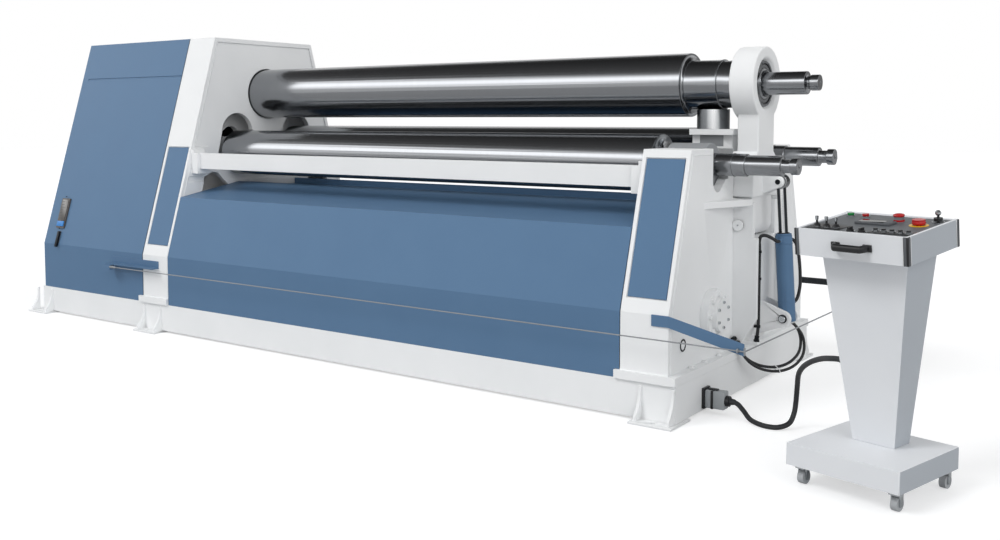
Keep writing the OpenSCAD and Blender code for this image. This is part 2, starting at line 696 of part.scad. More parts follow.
module rear_lift_rods() color(steel) placed()
    for (x = rear_layer) lift_rod(x + arm_t / 2, rear_lug);

// Oil tank with pump, motor and valve block on the floor of the cabinet
module hydraulic_unit() color(paint_blue) placed() {
    x = -tall_w - cabinet_len + 120;
    block([x, -700, base_z], [x + 560, -120, 560]);
    translate([x + 150, -400, 560]) cylinder(h = 60, r = 80);
    translate([x + 150, -400, 620]) cylinder(h = 240, r = 105);
    block([x + 330, -520, 560], [x + 500, -300, 660]);
    for (i = [0:2]) block([x + 345 + i * 50, -480, 660], [x + 380 + i * 50, -340, 720]);
}
module electrical_box() color(grey) placed() {
    x = -tall_w - cabinet_len + 120;
    block([x, 150, base_z], [x + 460, 480, 1250]);
}

// Brackets of the safety wire around the machine
module trip_brackets() color(paint_blue) placed() {
    block([-560, front_y - 6, 395], [-85, front_y, 441]);
    block([-560, front_y - 55, 395], [-85, front_y - 6, 401]);
    block([-560, front_y - 72, 363], [-490, front_y - 38, 395]);
    intersection() {
        xy(330, 500) polygon([
            [low_end - 80, front_y], [low_end, front_y], [low_end + 367, front_y - 57],
            [low_end + 367, front_y - 63], [low_end, front_y - 6], [low_end - 80, front_y - 6]
        ]);
        xz(front_y - 80, front_y + 10) polygon([
            [low_end - 80, 427], [low_end, 427], [low_end + 367, 362], [low_end + 367, 412],
            [low_end, 477], [low_end - 80, 477]
        ]);
    }
    block([low_end - 80, rear_y, 405], [low_end + 367, rear_y + 20, 455]);
}
module trip_wire() color(dark) placed() {
    wire_y = front_y - 65.8;
    corner_x = low_end + 371;
    wire_z = 382.5;
    bar_x(-490, corner_x, [wire_y, wire_z], 3);
    bar_y(wire_y, rear_y + 10, [corner_x, wire_z], 3);
    translate([corner_x, wire_y, wire_z]) cylinder(h = 30, r = 4, center = true);
    translate([corner_x, rear_y + 10, wire_z - 8]) cylinder(h = 75, r = 4);
}

// Mains socket on the base with its plug, whose cable runs to the console
module power_socket() color(dark) placed() {
    block([base_x1, -571, 22], [base_x1 + 12, -505, 115]);
    block([base_x1 + 12, -562, 30], [base_x1 + 70, -514, 104]);
    bar_x(base_x1 + 70, base_x1 + 122, [-538, 66], 24);
}
module power_cable() color(dark) placed() tube(cable_route, 11, 3);
cable_route = [
    [3552.7, -538, 66], [3564, -538, 66], [3590, -541, 60], [3624, -553, 36],
    [3660, -578, 15], [3710, -612, 11], [3762, -630, 11], [3806, -616, 12],
    [3838, -580, 26], [3850, -556, 66], [3856, -552, 120],
    [3868, -574, 190], [3896, -640, 258], [3944, -724, 312], [4006, -812, 358], [4076, -900, 396],
    [4140, -978, 420], [4177, -1003, 427], [4197.2, -1009.7, 427], [4210.8, -1013, 427]
];

module console_frame() translate([console_x, console_y, 0]) rotate([0, 0, console_turn]) children();
module desk_frame() console_frame() translate([0, -desk_d / 2, desk_z]) rotate([desk_tilt, 0, 0])
    children();
module on_desk(x, y) desk_frame() translate([x, y, desk_h]) children();
base_low = 74;
base_high = 154;

module console_base() color(paint_white) placed() console_frame()
    block([-desk_base_w / 2, -desk_base_d / 2, base_low], [desk_base_w / 2, desk_base_d / 2, base_high]);

// Column that widens upwards in both directions
module console_column() color(paint_white) placed() console_frame() {
    translate([-133, 50, 427]) rotate([0, 90, 0]) cylinder(h = 30, r = 16);
    difference() {
        intersection() {
            xz(-desk_d, desk_d) polygon([[-82, base_high], [82, base_high], [171, 900], [-171, 900]]);
            yz(-desk_w, desk_w) polygon([[6, base_high], [111, base_high], [111, 900], [-96, 900]]);
        }
        translate([0, -desk_d / 2, desk_z]) rotate([desk_tilt, 0, 0])
            translate([-desk_w, -desk_d, 0]) cube([2 * desk_w, 3 * desk_d, 3 * desk_h]);
    }
}

module console_desk() color(paint_white) placed() desk_frame() difference() {
    translate([-desk_w / 2, 0, 0]) cube([desk_w, desk_d, desk_h]);
    translate([-desk_w / 2 + 12, 12, desk_h - 8]) cube([desk_w - 24, desk_d - 24, 9]);
    translate([0, 0, desk_h]) control_holes();
}

// Control plate with its fixed indicators and display, holes for the moving controls
stick_x = [-164, -126, -88];
selector_x = [-13, 30];
stick_y = 66;
selector_y = 30;
stop_at = [140, 215];
lever_at = [172, 290];
start_at = [-160, 285];
off_at = [-100, 285];
plate_z = 4;
hole_r = 9;
module control_holes() for (p = concat(
        [for (x = stick_x) [x, stick_y]], [for (x = selector_x) [x, selector_y]],
        [stop_at, lever_at, start_at, off_at]))
    translate([p[0], p[1], -22]) cylinder(h = 23, r = hole_r);
module console_panel() color(dark) placed() on_desk(0, 0) {
    difference() {
        translate([-desk_w / 2 + 13, 13, -8]) cube([desk_w - 26, desk_d - 26, plate_z]);
        control_holes();
    }
    translate([-74, 165, -8 + plate_z]) cube([130, 50, 6]);
    translate([42, 262, -8 + plate_z]) cylinder(h = 22, r = 18);
    for (i = [0:4]) translate([62 + i * 30, 66, -8 + plate_z]) cylinder(h = 8, r = 9);
}
module console_handle() color(steel) placed() desk_frame() {
    for (x = [-55, 70]) translate([x, -34, desk_h / 2]) rotate([-90, 0, 0]) cylinder(h = 34, r = 7);
    translate([-64, -34, desk_h / 2]) rotate([0, 90, 0]) cylinder(h = 143, r = 8);
}

module stick(x) on_desk(x, stick_y) translate([0, 0, -8]) {
    sphere(r = hole_r - 0.2);
    translate([0, 0, plate_z + 5]) cylinder(h = 10, r1 = 14, r2 = 8);
    cylinder(h = 30, r = 4);
    translate([0, 0, 30]) cylinder(h = 13, r1 = 5, r2 = 6.5);
}
module joystick_1() color(dark) placed() stick(stick_x[0]);
module joystick_2() color(dark) placed() stick(stick_x[1]);
module joystick_3() color(dark) placed() stick(stick_x[2]);
module selector(x) on_desk(x, selector_y) translate([0, 0, -8]) {
    cylinder(h = 6, r = hole_r - fit);
    translate([0, 0, plate_z + 1]) cylinder(h = 8, r = 13);
    translate([-3.5, -13, plate_z + 9]) cube([7, 26, 9]);
}
module selector_1() color(dark) placed() selector(selector_x[0]);
module selector_2() color(dark) placed() selector(selector_x[1]);
module side_lever() color(dark) placed() on_desk(lever_at[0], lever_at[1]) translate([0, 0, -8]) {
    sphere(r = hole_r - 0.2);
    translate([0, 0, plate_z + 7]) cylinder(h = 10, r = 15);
    cylinder(h = 32, r = 4);
    translate([0, 0, 38]) sphere(r = 10);
}
module push(at, r, cap) on_desk(at[0], at[1]) translate([0, 0, -8]) {
    translate([0, 0, -4]) cylinder(h = 15, r = hole_r - fit);
    translate([0, 0, plate_z + 6]) cylinder(h = cap, r = r);
}
module stop_button() color([0.8, 0.1, 0.1]) placed() push(stop_at, 22, 16);
module start_button() color([0.1, 0.6, 0.2]) placed() push(start_at, 12, 7);
module off_button() color([0.8, 0.1, 0.1]) placed() push(off_at, 12, 7);

// Swivel casters under the corners of the console
caster_x = 180;
caster_y = 170;
trail = 18;
corners = [[-1, -1], [1, -1], [-1, 1], [1, 1]];
module caster_fork(i) console_frame() translate([corners[i][0] * caster_x, corners[i][1] * caster_y, 0]) {
    translate([0, 0, base_low - 8]) cylinder(h = 7.7, r = 24);
    translate([-18, -8, base_low - 16]) cube([36, trail + 18, 8]);
    for (x = [-18, 14]) translate([x, trail - 10, caster_r - 8]) cube([4, 20, base_low - caster_r - 8]);
    translate([-18, trail, caster_r]) rotate([0, 90, 0]) cylinder(h = 36, r = 5);
}
module caster_wheel(i) console_frame()
    translate([corners[i][0] * caster_x, corners[i][1] * caster_y + trail, caster_r]) difference() {
        translate([-12, 0, 0]) rotate([0, 90, 0]) cylinder(h = 24, r = caster_r);
        translate([-13, 0, 0]) rotate([0, 90, 0]) cylinder(h = 26, r = 5 + fit);
    }
module caster_fork_1() color(steel) placed() caster_fork(0);
module caster_fork_2() color(steel) placed() caster_fork(1);
module caster_fork_3() color(steel) placed() caster_fork(2);
module caster_fork_4() color(steel) placed() caster_fork(3);
module caster_wheel_1() color(dark) placed() caster_wheel(0);
module caster_wheel_2() color(dark) placed() caster_wheel(1);
module caster_wheel_3() color(dark) placed() caster_wheel(2);
module caster_wheel_4() color(dark) placed() caster_wheel(3);

base_frame();
ledge_plates();
left_stand();
right_stand();
inset_panels();
front_beam();
front_cover();
rear_cover();
drive_cabinet();
level_gauge();
pivot_flanges();
support_tower();
support_piston();
yoke_pedestal();
drop_end_pins();
yoke();
bearing_cartridge();
tilt_barrel();
tilt_rod();
barrel_hose();
tilt_hoses();
yoke_hose();
top_roll();
top_gearmotor();
front_arm();
front_roll();
rear_arm();
rear_roll();
front_lift_barrels();
front_lift_rods();
rear_lift_barrels();
rear_lift_rods();
hydraulic_unit();
electrical_box();
trip_brackets();
trip_wire();
power_socket();
power_cable();
console_base();
console_column();
console_desk();
console_panel();
console_handle();
joystick_1();
joystick_2();
joystick_3();
selector_1();
selector_2();
side_lever();
stop_button();
start_button();
off_button();
caster_fork_1();
caster_fork_2();
caster_fork_3();
caster_fork_4();
caster_wheel_1();
caster_wheel_2();
caster_wheel_3();
caster_wheel_4();
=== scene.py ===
# %% [markdown]
# # Plate rolling machine
# Three steel rolls lie between two welded stands, and the bearing at the right tips open
# so that a rolled tube can be pulled off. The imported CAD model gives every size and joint.
# This script dresses it: bevelled copies of the plates, turned steel, enamel, hoses, bolts,
# and the console.

# %% Load the frame
import json
import math

import bmesh
import bpy
from mathutils import Matrix, Vector


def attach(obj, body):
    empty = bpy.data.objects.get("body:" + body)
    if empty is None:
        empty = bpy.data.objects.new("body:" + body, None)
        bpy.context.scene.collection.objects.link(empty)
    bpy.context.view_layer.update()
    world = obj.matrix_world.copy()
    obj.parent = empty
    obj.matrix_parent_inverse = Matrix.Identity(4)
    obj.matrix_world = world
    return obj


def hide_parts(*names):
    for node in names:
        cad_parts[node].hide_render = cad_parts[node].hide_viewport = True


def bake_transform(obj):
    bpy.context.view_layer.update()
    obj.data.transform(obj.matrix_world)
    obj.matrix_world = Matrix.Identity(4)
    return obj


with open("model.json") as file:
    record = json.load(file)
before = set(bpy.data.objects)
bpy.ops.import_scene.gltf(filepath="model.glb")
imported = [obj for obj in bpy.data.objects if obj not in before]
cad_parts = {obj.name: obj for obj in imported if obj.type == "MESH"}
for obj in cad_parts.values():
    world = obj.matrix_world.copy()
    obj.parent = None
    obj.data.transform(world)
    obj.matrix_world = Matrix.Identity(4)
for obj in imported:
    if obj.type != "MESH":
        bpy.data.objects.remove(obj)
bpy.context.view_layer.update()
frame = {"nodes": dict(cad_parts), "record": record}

# %% [markdown]
# The source was drawn in millimetres with the shoulder of the top roll at zero, and the
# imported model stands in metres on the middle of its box. One matrix carries a shape from
# the first to the second, so every number below reads like the machine's own drawing.

# %% From drawing millimetres to the row's metres
DRAWING_ORIGIN = Vector((1577.5748854, -236.4434051, 0.0))
TO_ROW = Matrix.Scale(0.001, 4) @ Matrix.Translation(-DRAWING_ORIGIN)


def row(point):
    return TO_ROW @ Vector(point)


# %% [markdown]
# The camera stands where the photographer stood, to the right of the machine. Its place and
# lens were solved from the stands' edges, and the small shift keeps the uprights parallel
# to the picture's frame as they are in the photograph.

# %% Camera
def new_object(name, data):
    """Makes an object at the origin and puts it in the scene."""
    made = bpy.data.objects.new(name, data)
    bpy.context.scene.collection.objects.link(made)
    return made


YAW, PITCH = math.radians(35.4), math.radians(3.8)
camera_data = bpy.data.cameras.new("Camera")
camera_data.lens = 37.95
camera_data.sensor_width = 36
camera_data.shift_y = -0.0803
camera_data.clip_end = 60
camera = new_object("Camera", camera_data)
camera.location = row((5391.7, -4893.4, 1316.8))
look = Vector((-math.sin(YAW) * math.cos(PITCH), math.cos(YAW) * math.cos(PITCH),
               -math.sin(PITCH)))
camera.rotation_euler = look.to_track_quat("-Z", "Y").to_euler()
bpy.context.scene.camera = camera
print("camera in metres:", [round(c, 3) for c in camera.location], "lens:", camera_data.lens)

# %% [markdown]
# A material starts as an empty node tree. One small function adds a node with its settings
# and its links, which keeps a finish down to the few lines that say what it looks like.

# %% Colour and node helpers
def srgb(code):
    """Turns a hex colour such as A0B1C2 to linear RGBA."""
    parts = [int(code[i:i + 2], 16) / 255 for i in (0, 2, 4)]
    linear = [c / 12.92 if c <= 0.04045 else ((c + 0.055) / 1.055) ** 2.4 for c in parts]
    return (*linear, 1.0)


def add_node(tree, kind, settings=None, links=None):
    """Adds a node. settings are attributes or input values, links maps an input to a socket."""
    node = tree.nodes.new(kind)
    for key, value in (settings or {}).items():
        if isinstance(key, str) and hasattr(node, key):
            setattr(node, key, value)
        else:
            node.inputs[key].default_value = value
    for key, socket in (links or {}).items():
        tree.links.new(socket, node.inputs[key])
    return node


def new_material(name, shader_settings):
    material = bpy.data.materials.new(name)
    material.use_nodes = True
    tree = material.node_tree
    tree.nodes.clear()
    shader = add_node(tree, "ShaderNodeBsdfPrincipled", shader_settings)
    add_node(tree, "ShaderNodeOutputMaterial", links={"Surface": shader.outputs[0]})
    print("finish:", name)
    return material, tree, shader


EVEN = (1, 1, 1)


def stretched_noise(tree, stretch, mm, detail=3.0, rough=0.5):
    """Noise on Object coordinates with features of about mm millimetres, stretched by axis."""
    place = add_node(tree, "ShaderNodeTexCoord")
    mapping = add_node(tree, "ShaderNodeMapping", {"Scale": stretch},
                       {"Vector": place.outputs["Object"]})
    return add_node(tree, "ShaderNodeTexNoise",
                    {"Scale": 1000 / mm, "Detail": detail, "Roughness": rough},
                    {"Vector": mapping.outputs[0]})


MIX_FACTOR, MIX_A, MIX_B, MIX_RESULT = 0, 6, 7, 2  # colour sockets of a Mix node


def tint(tree, shader, factor, low, high):
    """Colour that runs from low to high with a factor."""
    mix = add_node(tree, "ShaderNodeMix", {"data_type": "RGBA"}, {MIX_FACTOR: factor})
    mix.inputs[MIX_A].default_value = srgb(low)
    mix.inputs[MIX_B].default_value = srgb(high)
    tree.links.new(mix.outputs[MIX_RESULT], shader.inputs["Base Color"])


def roughen(tree, shader, factor, low, high):
    span = add_node(tree, "ShaderNodeMapRange", {"To Min": low, "To Max": high}, {0: factor})
    tree.links.new(span.outputs[0], shader.inputs["Roughness"])


def bump(tree, shader, height, distance_mm, strength):
    node = add_node(tree, "ShaderNodeBump", {"Distance": distance_mm / 1000, "Strength": strength},
                    {"Height": height})
    tree.links.new(node.outputs[0], shader.inputs["Normal"])


def fill_ramp(ramp, stops):
    """Sets a colour ramp to a list of (position, linear RGBA) stops."""
    while len(ramp.color_ramp.elements) < len(stops):
        ramp.color_ramp.elements.new(0.5)
    for stop, (place, colour) in zip(ramp.color_ramp.elements, stops):
        stop.position = place
        stop.color = colour


# %% [markdown]
# The stands are welded plate under a sprayed two-pack enamel. Sprayed enamel dries with a
# faint orange peel, a ripple a few millimetres wide, and a silk sheen. Its colour drifts a
# little from panel to panel, so a slow noise moves it between two near hex values.

# %% Enamels
def enamel(name, low, high, rough=(0.34, 0.44)):
    material, tree, shader = new_material(name, {"Specular IOR Level": 0.16, "IOR": 1.5})
    drift = stretched_noise(tree, EVEN, 260, 4.0)
    tint(tree, shader, drift.outputs[0], low, high)
    roughen(tree, shader, drift.outputs[0], *rough)
    peel = stretched_noise(tree, EVEN, 5, 2.0)
    bump(tree, shader, peel.outputs[0], 0.25, 0.35)
    return material


white_enamel = enamel("white enamel", "E8EAEB", "F2F3F4")
blue_enamel = enamel("blue enamel", "557393", "5C7A99")
grey_enamel = enamel("grey enamel", "8A8D90", "96999C", (0.4, 0.5))
console_enamel = enamel("console enamel", "DDE0E4", "E6E8EB", (0.38, 0.48))

# %% [markdown]
# In the photograph the console's right side lies away from the lamps. So its coat takes a
# darker tint on faces that look toward +X.

# %% Darker side of the console
def shade_one_side(material, code):
    """Multiplies the coat by a colour where the surface looks toward +X."""
    tree = material.node_tree
    shader = next(node for node in tree.nodes if node.type == "BSDF_PRINCIPLED")
    coat = shader.inputs["Base Color"].links[0].from_socket
    surface = add_node(tree, "ShaderNodeNewGeometry")
    axes = add_node(tree, "ShaderNodeSeparateXYZ", links={0: surface.outputs["Normal"]})
    side = add_node(tree, "ShaderNodeMapRange", {"From Min": 0.55, "From Max": 0.95},
                    {0: axes.outputs["X"]})
    mix = add_node(tree, "ShaderNodeMix", {"data_type": "RGBA", "blend_type": "MULTIPLY"},
                   {MIX_FACTOR: side.outputs[0], MIX_A: coat})
    mix.inputs[MIX_B].default_value = srgb(code)
    tree.links.new(mix.outputs[MIX_RESULT], shader.inputs["Base Color"])


shade_one_side(console_enamel, "C4C8CC")

# %% [markdown]
# The rolls are forged steel, turned and then ground, so the marks run round them in rings
# a fraction of a millimetre wide. They are drawn 2 to 6 mm wide to show at this distance.
# The pistons and rods are chromed or turned finer, and the pins keep a film of dark oil.

# %% Steels
def ringed_steel(name, low, high, axis, rough, ring_mm, depth_mm):
    """Metal with turning marks round the axis 0, 1 or 2."""
    material, tree, shader = new_material(name, {"Metallic": 1.0})
    stretch = [0.015, 0.015, 0.015]
    stretch[axis] = 1
    rings = stretched_noise(tree, stretch, ring_mm, 4.0, 0.6)
    clouds = stretched_noise(tree, EVEN, 180)
    tint(tree, shader, rings.outputs[0], low, high)
    roughen(tree, shader, clouds.outputs[0], *rough)
    bump(tree, shader, rings.outputs[0], depth_mm, 0.5)
    return material


ground_steel = ringed_steel("ground roll steel", "8E9093", "9A9C9F", 0, (0.15, 0.2), 3, 0.02)
turned_steel = ringed_steel("turned steel", "8C8F92", "9FA2A5", 0, (0.22, 0.28), 2, 0.03)
oiled_steel = ringed_steel("oiled dark steel", "2C2E31", "44474A", 0, (0.3, 0.45), 4, 0.05)
bright_zinc = ringed_steel("bright zinc plate", "B4B8BB", "D0D3D5", 2, (0.2, 0.32), 6, 0.02)
black_steel = ringed_steel("blackened bolt steel", "1E2023", "34373A", 0, (0.35, 0.5), 5, 0.03)


def painted_reflection_steel(name, stops, rough):
    """Polished upright cylinder. Its base colour is a painted reflection: the windows in its
    middle, the dark room at its sides.
    """
    material, tree, shader = new_material(name, {"Metallic": 1.0, "Roughness": rough})
    facing = add_node(tree, "ShaderNodeLayerWeight", {"Blend": 0.5})
    ramp = add_node(tree, "ShaderNodeValToRGB", links={0: facing.outputs["Facing"]})
    fill_ramp(ramp, [(place, srgb(code)) for place, code in stops])
    tree.links.new(ramp.outputs[0], shader.inputs["Base Color"])
    return material


# Chromed rod and turned piston: the stops are a painted reflection, white where the surface faces
# the camera and dark where it turns away.
chromed_rod = painted_reflection_steel("chromed rod", [
    (0.0, "FFFFFF"), (0.035, "F4F5F6"), (0.075, "46494D"), (0.5, "2E3134"), (1.0, "74777A")], 0.12)
turned_piston = painted_reflection_steel("turned piston", [
    (0.0, "F0F1F2"), (0.02, "D8DADC"), (0.1, "8A8D90"), (0.45, "626568"), (1.0, "46494C")], 0.25)

# %% [markdown]
# Rubber, moulded plastic and glass finish the small parts. Hose rubber is matt with a fine
# cloth mark from its wrapping. The push buttons are glossy moulded plastic, and the console
# plate is a powder coat with a fine grain.

# %% Rubber, plastics and glass
def moulded(name, low, high, rough, grain_mm=1.5, depth_mm=0.05, extra=None):
    material, tree, shader = new_material(name, {"IOR": 1.49, **(extra or {})})
    grain = stretched_noise(tree, EVEN, grain_mm)
    patches = stretched_noise(tree, EVEN, 60)
    tint(tree, shader, patches.outputs[0], low, high)
    roughen(tree, shader, patches.outputs[0], *rough)
    bump(tree, shader, grain.outputs[0], depth_mm, 0.5)
    return material


hose_rubber = moulded("hose rubber", "17181A", "242528", (0.45, 0.6), 3, 0.2)
cable_rubber = moulded("cable rubber", "1C1D20", "2A2B2E", (0.45, 0.58), 3, 0.15)
caster_rubber = moulded("caster tread", "A4A7AA", "B4B7BA", (0.45, 0.6), 3, 0.1)
black_plastic = moulded("black plastic", "101113", "1D1E21", (0.3, 0.42))
panel_coat = moulded("panel powder coat", "5A5E62", "65686C", (0.45, 0.55), 1.2, 0.12)
profile_coat = moulded("corner profile coat", "505357", "5C5F63", (0.42, 0.55), 1.5, 0.1)
red_plastic = moulded("red plastic", "A80D10", "BE1518", (0.2, 0.3))
green_plastic = moulded("green plastic", "0F7A36", "178C42", (0.2, 0.3))
yellow_plastic = moulded("yellow plastic", "E0B010", "EDBE1C", (0.25, 0.35))
white_plastic = moulded("white plastic", "D8DADC", "E6E8E9", (0.3, 0.4))
grey_plastic = moulded("grey plastic", "9A9EA1", "A8ACAF", (0.35, 0.5))
display_glass = moulded("display glass", "0C1114", "12191D", (0.06, 0.1), 20, 0.01,
                        {"Coat Weight": 0.6})
gauge_glass = moulded("gauge glass", "2E2A28", "3E3935", (0.12, 0.2), 6, 0.01,
                      {"Coat Weight": 0.4})
gauge_housing = moulded("gauge housing", "4A4643", "565250", (0.35, 0.5))
gauge_float = moulded("gauge float", "1C72BC", "2A80C8", (0.3, 0.4))
# Painted shade: a dark blue-grey that stands for the unlit gap round the cabinet.
shadow_paint = moulded("unlit paint inside the stands", "3A4149", "49515A", (0.6, 0.8), 30, 0.1)

# %% [markdown]
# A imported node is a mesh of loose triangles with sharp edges. Real plates have a small
# radius where they were cut and painted, and it is what catches the light. So each rigid
# node gets a copy whose triangles are merged and whose outward edges are bevelled. The yoke's
# flat faces are joined first, and folded sheet keeps each of its slight folds sharp. The copy
# rides on the node's body and stands for the node.

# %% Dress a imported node
BODY_OF = {node: body for body, nodes in frame["record"]["behaviour"]["bodies"].items()
           for node in nodes}
SHARP_ANGLE, FOLD_ANGLE = math.radians(32), math.radians(4)
MERGE_M = 0.00002


def smooth(mesh, sharp_angle=SHARP_ANGLE):
    mesh.shade_smooth()
    mesh.set_sharp_from_angle(angle=sharp_angle)


def mark_outer_edges(bm):
    """Gives the outward edges a bevel weight. Inward corners stay as the weld left them."""
    weight = bm.edges.layers.float.new("bevel_weight_edge")
    bm.normal_update()
    for edge in bm.edges:
        if len(edge.link_faces) == 2 and edge.calc_face_angle_signed(0) > SHARP_ANGLE:
            edge[weight] = 1.0


def add_bevel(piece, width_mm):
    bevel = piece.modifiers.new("edge radius", "BEVEL")
    bevel.width = width_mm / 1000
    bevel.segments = 2
    bevel.limit_method = "WEIGHT"
    bevel.use_clamp_overlap = False
    flat = piece.modifiers.new("flat faces stay flat", "WEIGHTED_NORMAL")
    flat.keep_sharp = True


FLATTENED = ("yoke",)
FOLDED = ("drive_cabinet", "front_cover", "rear_cover", "inset_panels")


def dress(node, material, edge_mm):
    bm = bmesh.new()
    bm.from_mesh(frame["nodes"][node].data)
    bmesh.ops.remove_doubles(bm, verts=bm.verts, dist=MERGE_M)
    if node in FLATTENED:
        bmesh.ops.dissolve_limit(bm, angle_limit=math.radians(0.5), verts=bm.verts, edges=bm.edges,
                                 use_dissolve_boundaries=False, delimit=set())
    mark_outer_edges(bm)
    mesh = bpy.data.meshes.new(node + "_dressed")
    bm.to_mesh(mesh)
    bm.free()
    smooth(mesh, FOLD_ANGLE if node in FOLDED else SHARP_ANGLE)
    mesh.materials.append(material)
    piece = new_object(node + "_dressed", mesh)
    add_bevel(piece, edge_mm)
    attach(piece, BODY_OF[node])
    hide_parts(node)
    return piece


# %% [markdown]
# Heavy plate is rounded by 2 to 3 mm, and thin sheet and small parts by less. The yoke is the
# heaviest block of all, and its edges look the roundest. Each node is listed with its finish
# and its edge radius in millimetres.

# %% Finish and edge radius of each node
DRESSED = {
    "base_frame": (white_enamel, 3), "ledge_plates": (white_enamel, 2),
    "left_stand": (white_enamel, 3), "right_stand": (white_enamel, 3),
    "inset_panels": (blue_enamel, 2), "front_beam": (white_enamel, 3),
    "front_cover": (blue_enamel, 1.5), "rear_cover": (blue_enamel, 1.5),
    "drive_cabinet": (blue_enamel, 2), "pivot_flanges": (white_enamel, 2),
    "support_tower": (white_enamel, 2), "support_piston": (turned_piston, 2),
    "yoke_pedestal": (white_enamel, 2.5), "drop_end_pins": (oiled_steel, 1.5),
    "yoke": (white_enamel, 6), "bearing_cartridge": (oiled_steel, 1),
    "tilt_barrel": (blue_enamel, 1.5), "tilt_rod": (chromed_rod, 1),
    "top_roll": (ground_steel, 3), "front_roll": (ground_steel, 3),
    "rear_roll": (ground_steel, 3), "top_gearmotor": (grey_enamel, 2),
    "front_arm": (grey_enamel, 2), "rear_arm": (grey_enamel, 2),
    "front_lift_barrels": (blue_enamel, 1), "front_lift_rods": (chromed_rod, 0.8),
    "rear_lift_barrels": (blue_enamel, 1), "rear_lift_rods": (chromed_rod, 0.8),
    "hydraulic_unit": (blue_enamel, 3), "electrical_box": (grey_enamel, 3),
    "trip_brackets": (blue_enamel, 1), "power_socket": (black_plastic, 2),
    "console_base": (console_enamel, 3), "console_column": (console_enamel, 2),
    "console_desk": (console_enamel, 2), "console_panel": (panel_coat, 0.8),
}
dressed = {node: dress(node, *spec) for node, spec in DRESSED.items()}
print("dressed nodes:", len(dressed))

# The rear bar of the trip brackets is dark and slimmer, the front ones are blue
REAR_BAR_Y, REAR_BAR_Z, REAR_BAR_SLIM = 0.9, 0.43, 0.64
brackets = dressed["trip_brackets"].data
brackets.materials.append(oiled_steel)
for face in brackets.polygons:
    if face.center.y > REAR_BAR_Y:
        face.material_index = 1
for vertex in brackets.vertices:
    if vertex.co.y > REAR_BAR_Y:
        vertex.co.z = REAR_BAR_Z + (vertex.co.z - REAR_BAR_Z) * REAR_BAR_SLIM

# %% [markdown]
# The smallest nodes keep their own mesh, which is already right, and only take a finish.

# %% Finishes of the small nodes
PLAIN = {
    "level_gauge": gauge_housing, "trip_wire": grey_enamel,
    "joystick_1": black_plastic, "joystick_2": black_plastic, "joystick_3": black_plastic,
    "selector_1": black_plastic, "selector_2": black_plastic, "side_lever": black_plastic,
    "stop_button": red_plastic, "start_button": green_plastic, "off_button": red_plastic,
}
for number in (1, 2, 3, 4):
    PLAIN[f"caster_fork_{number}"] = bright_zinc
    PLAIN[f"caster_wheel_{number}"] = caster_rubber
for node, material in PLAIN.items():
    slots = frame["nodes"][node].data.materials
    slots.clear()
    slots.append(material)

# %% [markdown]
# A hose is a curve with a round bevel. Its points are those of the source's route, so it
# lies where the CAD hose lies, and its length is measured along the same curve. Only the
# riser's upright run lies up to 10 mm further out, because the pedestal's edge would hide
# half of it.

# %% Curve through a route
SPLINE_STEPS = 6


def spline_points(points):
    """Points of a smooth curve through the route, as the source draws it."""
    route = [Vector(p) for p in points]
    line = []
    for i in range(len(route) - 1):
        a, b, c, d = route[max(i - 1, 0)], route[i], route[i + 1], route[min(i + 2, len(route) - 1)]
        for k in range(SPLINE_STEPS):
            t = k / SPLINE_STEPS
            line.append(0.5 * (2 * b + (c - a) * t + (2 * a - 5 * b + 4 * c - d) * t * t
                               + (3 * b - a - 3 * c + d) * t * t * t))
    return line + [route[-1]]


def round_curve(name, line, radius, resolution):
    """Curve of one straight-sided spline with a round section. Gives the curve and spline."""
    curve = bpy.data.curves.new(name, "CURVE")
    curve.dimensions = "3D"
    curve.bevel_depth = radius
    curve.bevel_resolution = resolution
    curve.use_fill_caps = True
    spline = curve.splines.new("POLY")
    spline.points.add(len(line) - 1)
    for place, point in zip(spline.points, line):
        place.co = (*point, 1)
    return curve, spline


def hose(name, points, radius_mm, material, body=None, node=None):
    """Round curve through the route. Gives the piece and its length in metres."""
    line = [row(p) for p in spline_points(points)]
    curve, spline = round_curve(name, line, radius_mm / 1000, 5)
    curve.materials.append(material)
    spline.use_smooth = True
    piece = new_object(name, curve)
    if body:
        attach(piece, body)
        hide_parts(node)
    return piece, sum((b - a).length for a, b in zip(line, line[1:]))


# %% [markdown]
# The cable leaves the plug, lies on the floor and rises to the console. Two hoses sag under
# the foot of the tilt cylinder. A pipe joins two ports on the far side of its barrel, and a
# riser runs from its near port down the pedestal. Each route lists points from a port to the
# far end, a few at every bend and few on a straight run.

# %% Routes
CABLE_ROUTE = [
    (3552.7, -538, 66), (3564, -538, 66), (3590, -541, 60), (3624, -553, 36), (3660, -578, 15),
    (3710, -612, 11), (3762, -630, 11), (3806, -616, 12), (3838, -580, 26), (3850, -556, 66),
    (3856, -552, 120), (3868, -574, 190), (3896, -640, 258), (3944, -724, 312),
    (4006, -812, 358), (4076, -900, 396), (4140, -978, 420), (4177, -1003, 427),
    (4197.2, -1009.7, 427), (4210.8, -1013, 427),
]
SAG_ROUTE = [
    (3428, -155.7, 250), (3428, -165, 250), (3434, -183, 247), (3458, -192, 216),
    (3490, -158, 160), (3530, -92, 120), (3572, 0, 100), (3612, 76, 112), (3640, 124, 152),
    (3648, 138, 206), (3638, 134, 262), (3612, 118, 306), (3584, 92, 338), (3576, 70, 345),
    (3576, 57.7, 345),
]
BARREL_ROUTE = [
    (3585.7, 62.9, 739.3), (3585.7, 71, 739.3), (3588, 86, 739), (3600, 104, 728),
    (3612, 112, 700), (3622, 116, 640), (3628, 118, 560), (3628, 116, 500), (3620, 104, 448),
    (3608, 86, 428), (3605.4, 71, 426.9), (3605.4, 62.9, 426.9),
]
YOKE_ROUTE = [
    (3585.7, -62.9, 739.3), (3585.7, -70, 739.3), (3582, -83, 742), (3566, -98, 756),
    (3540, -108, 768), (3516, -110, 764), (3508, -112, 742), (3510, -114, 700),
    (3510, -114, 600), (3510, -114, 500), (3510, -114, 400), (3508, -112, 320), (3500, -110, 255.5),
]
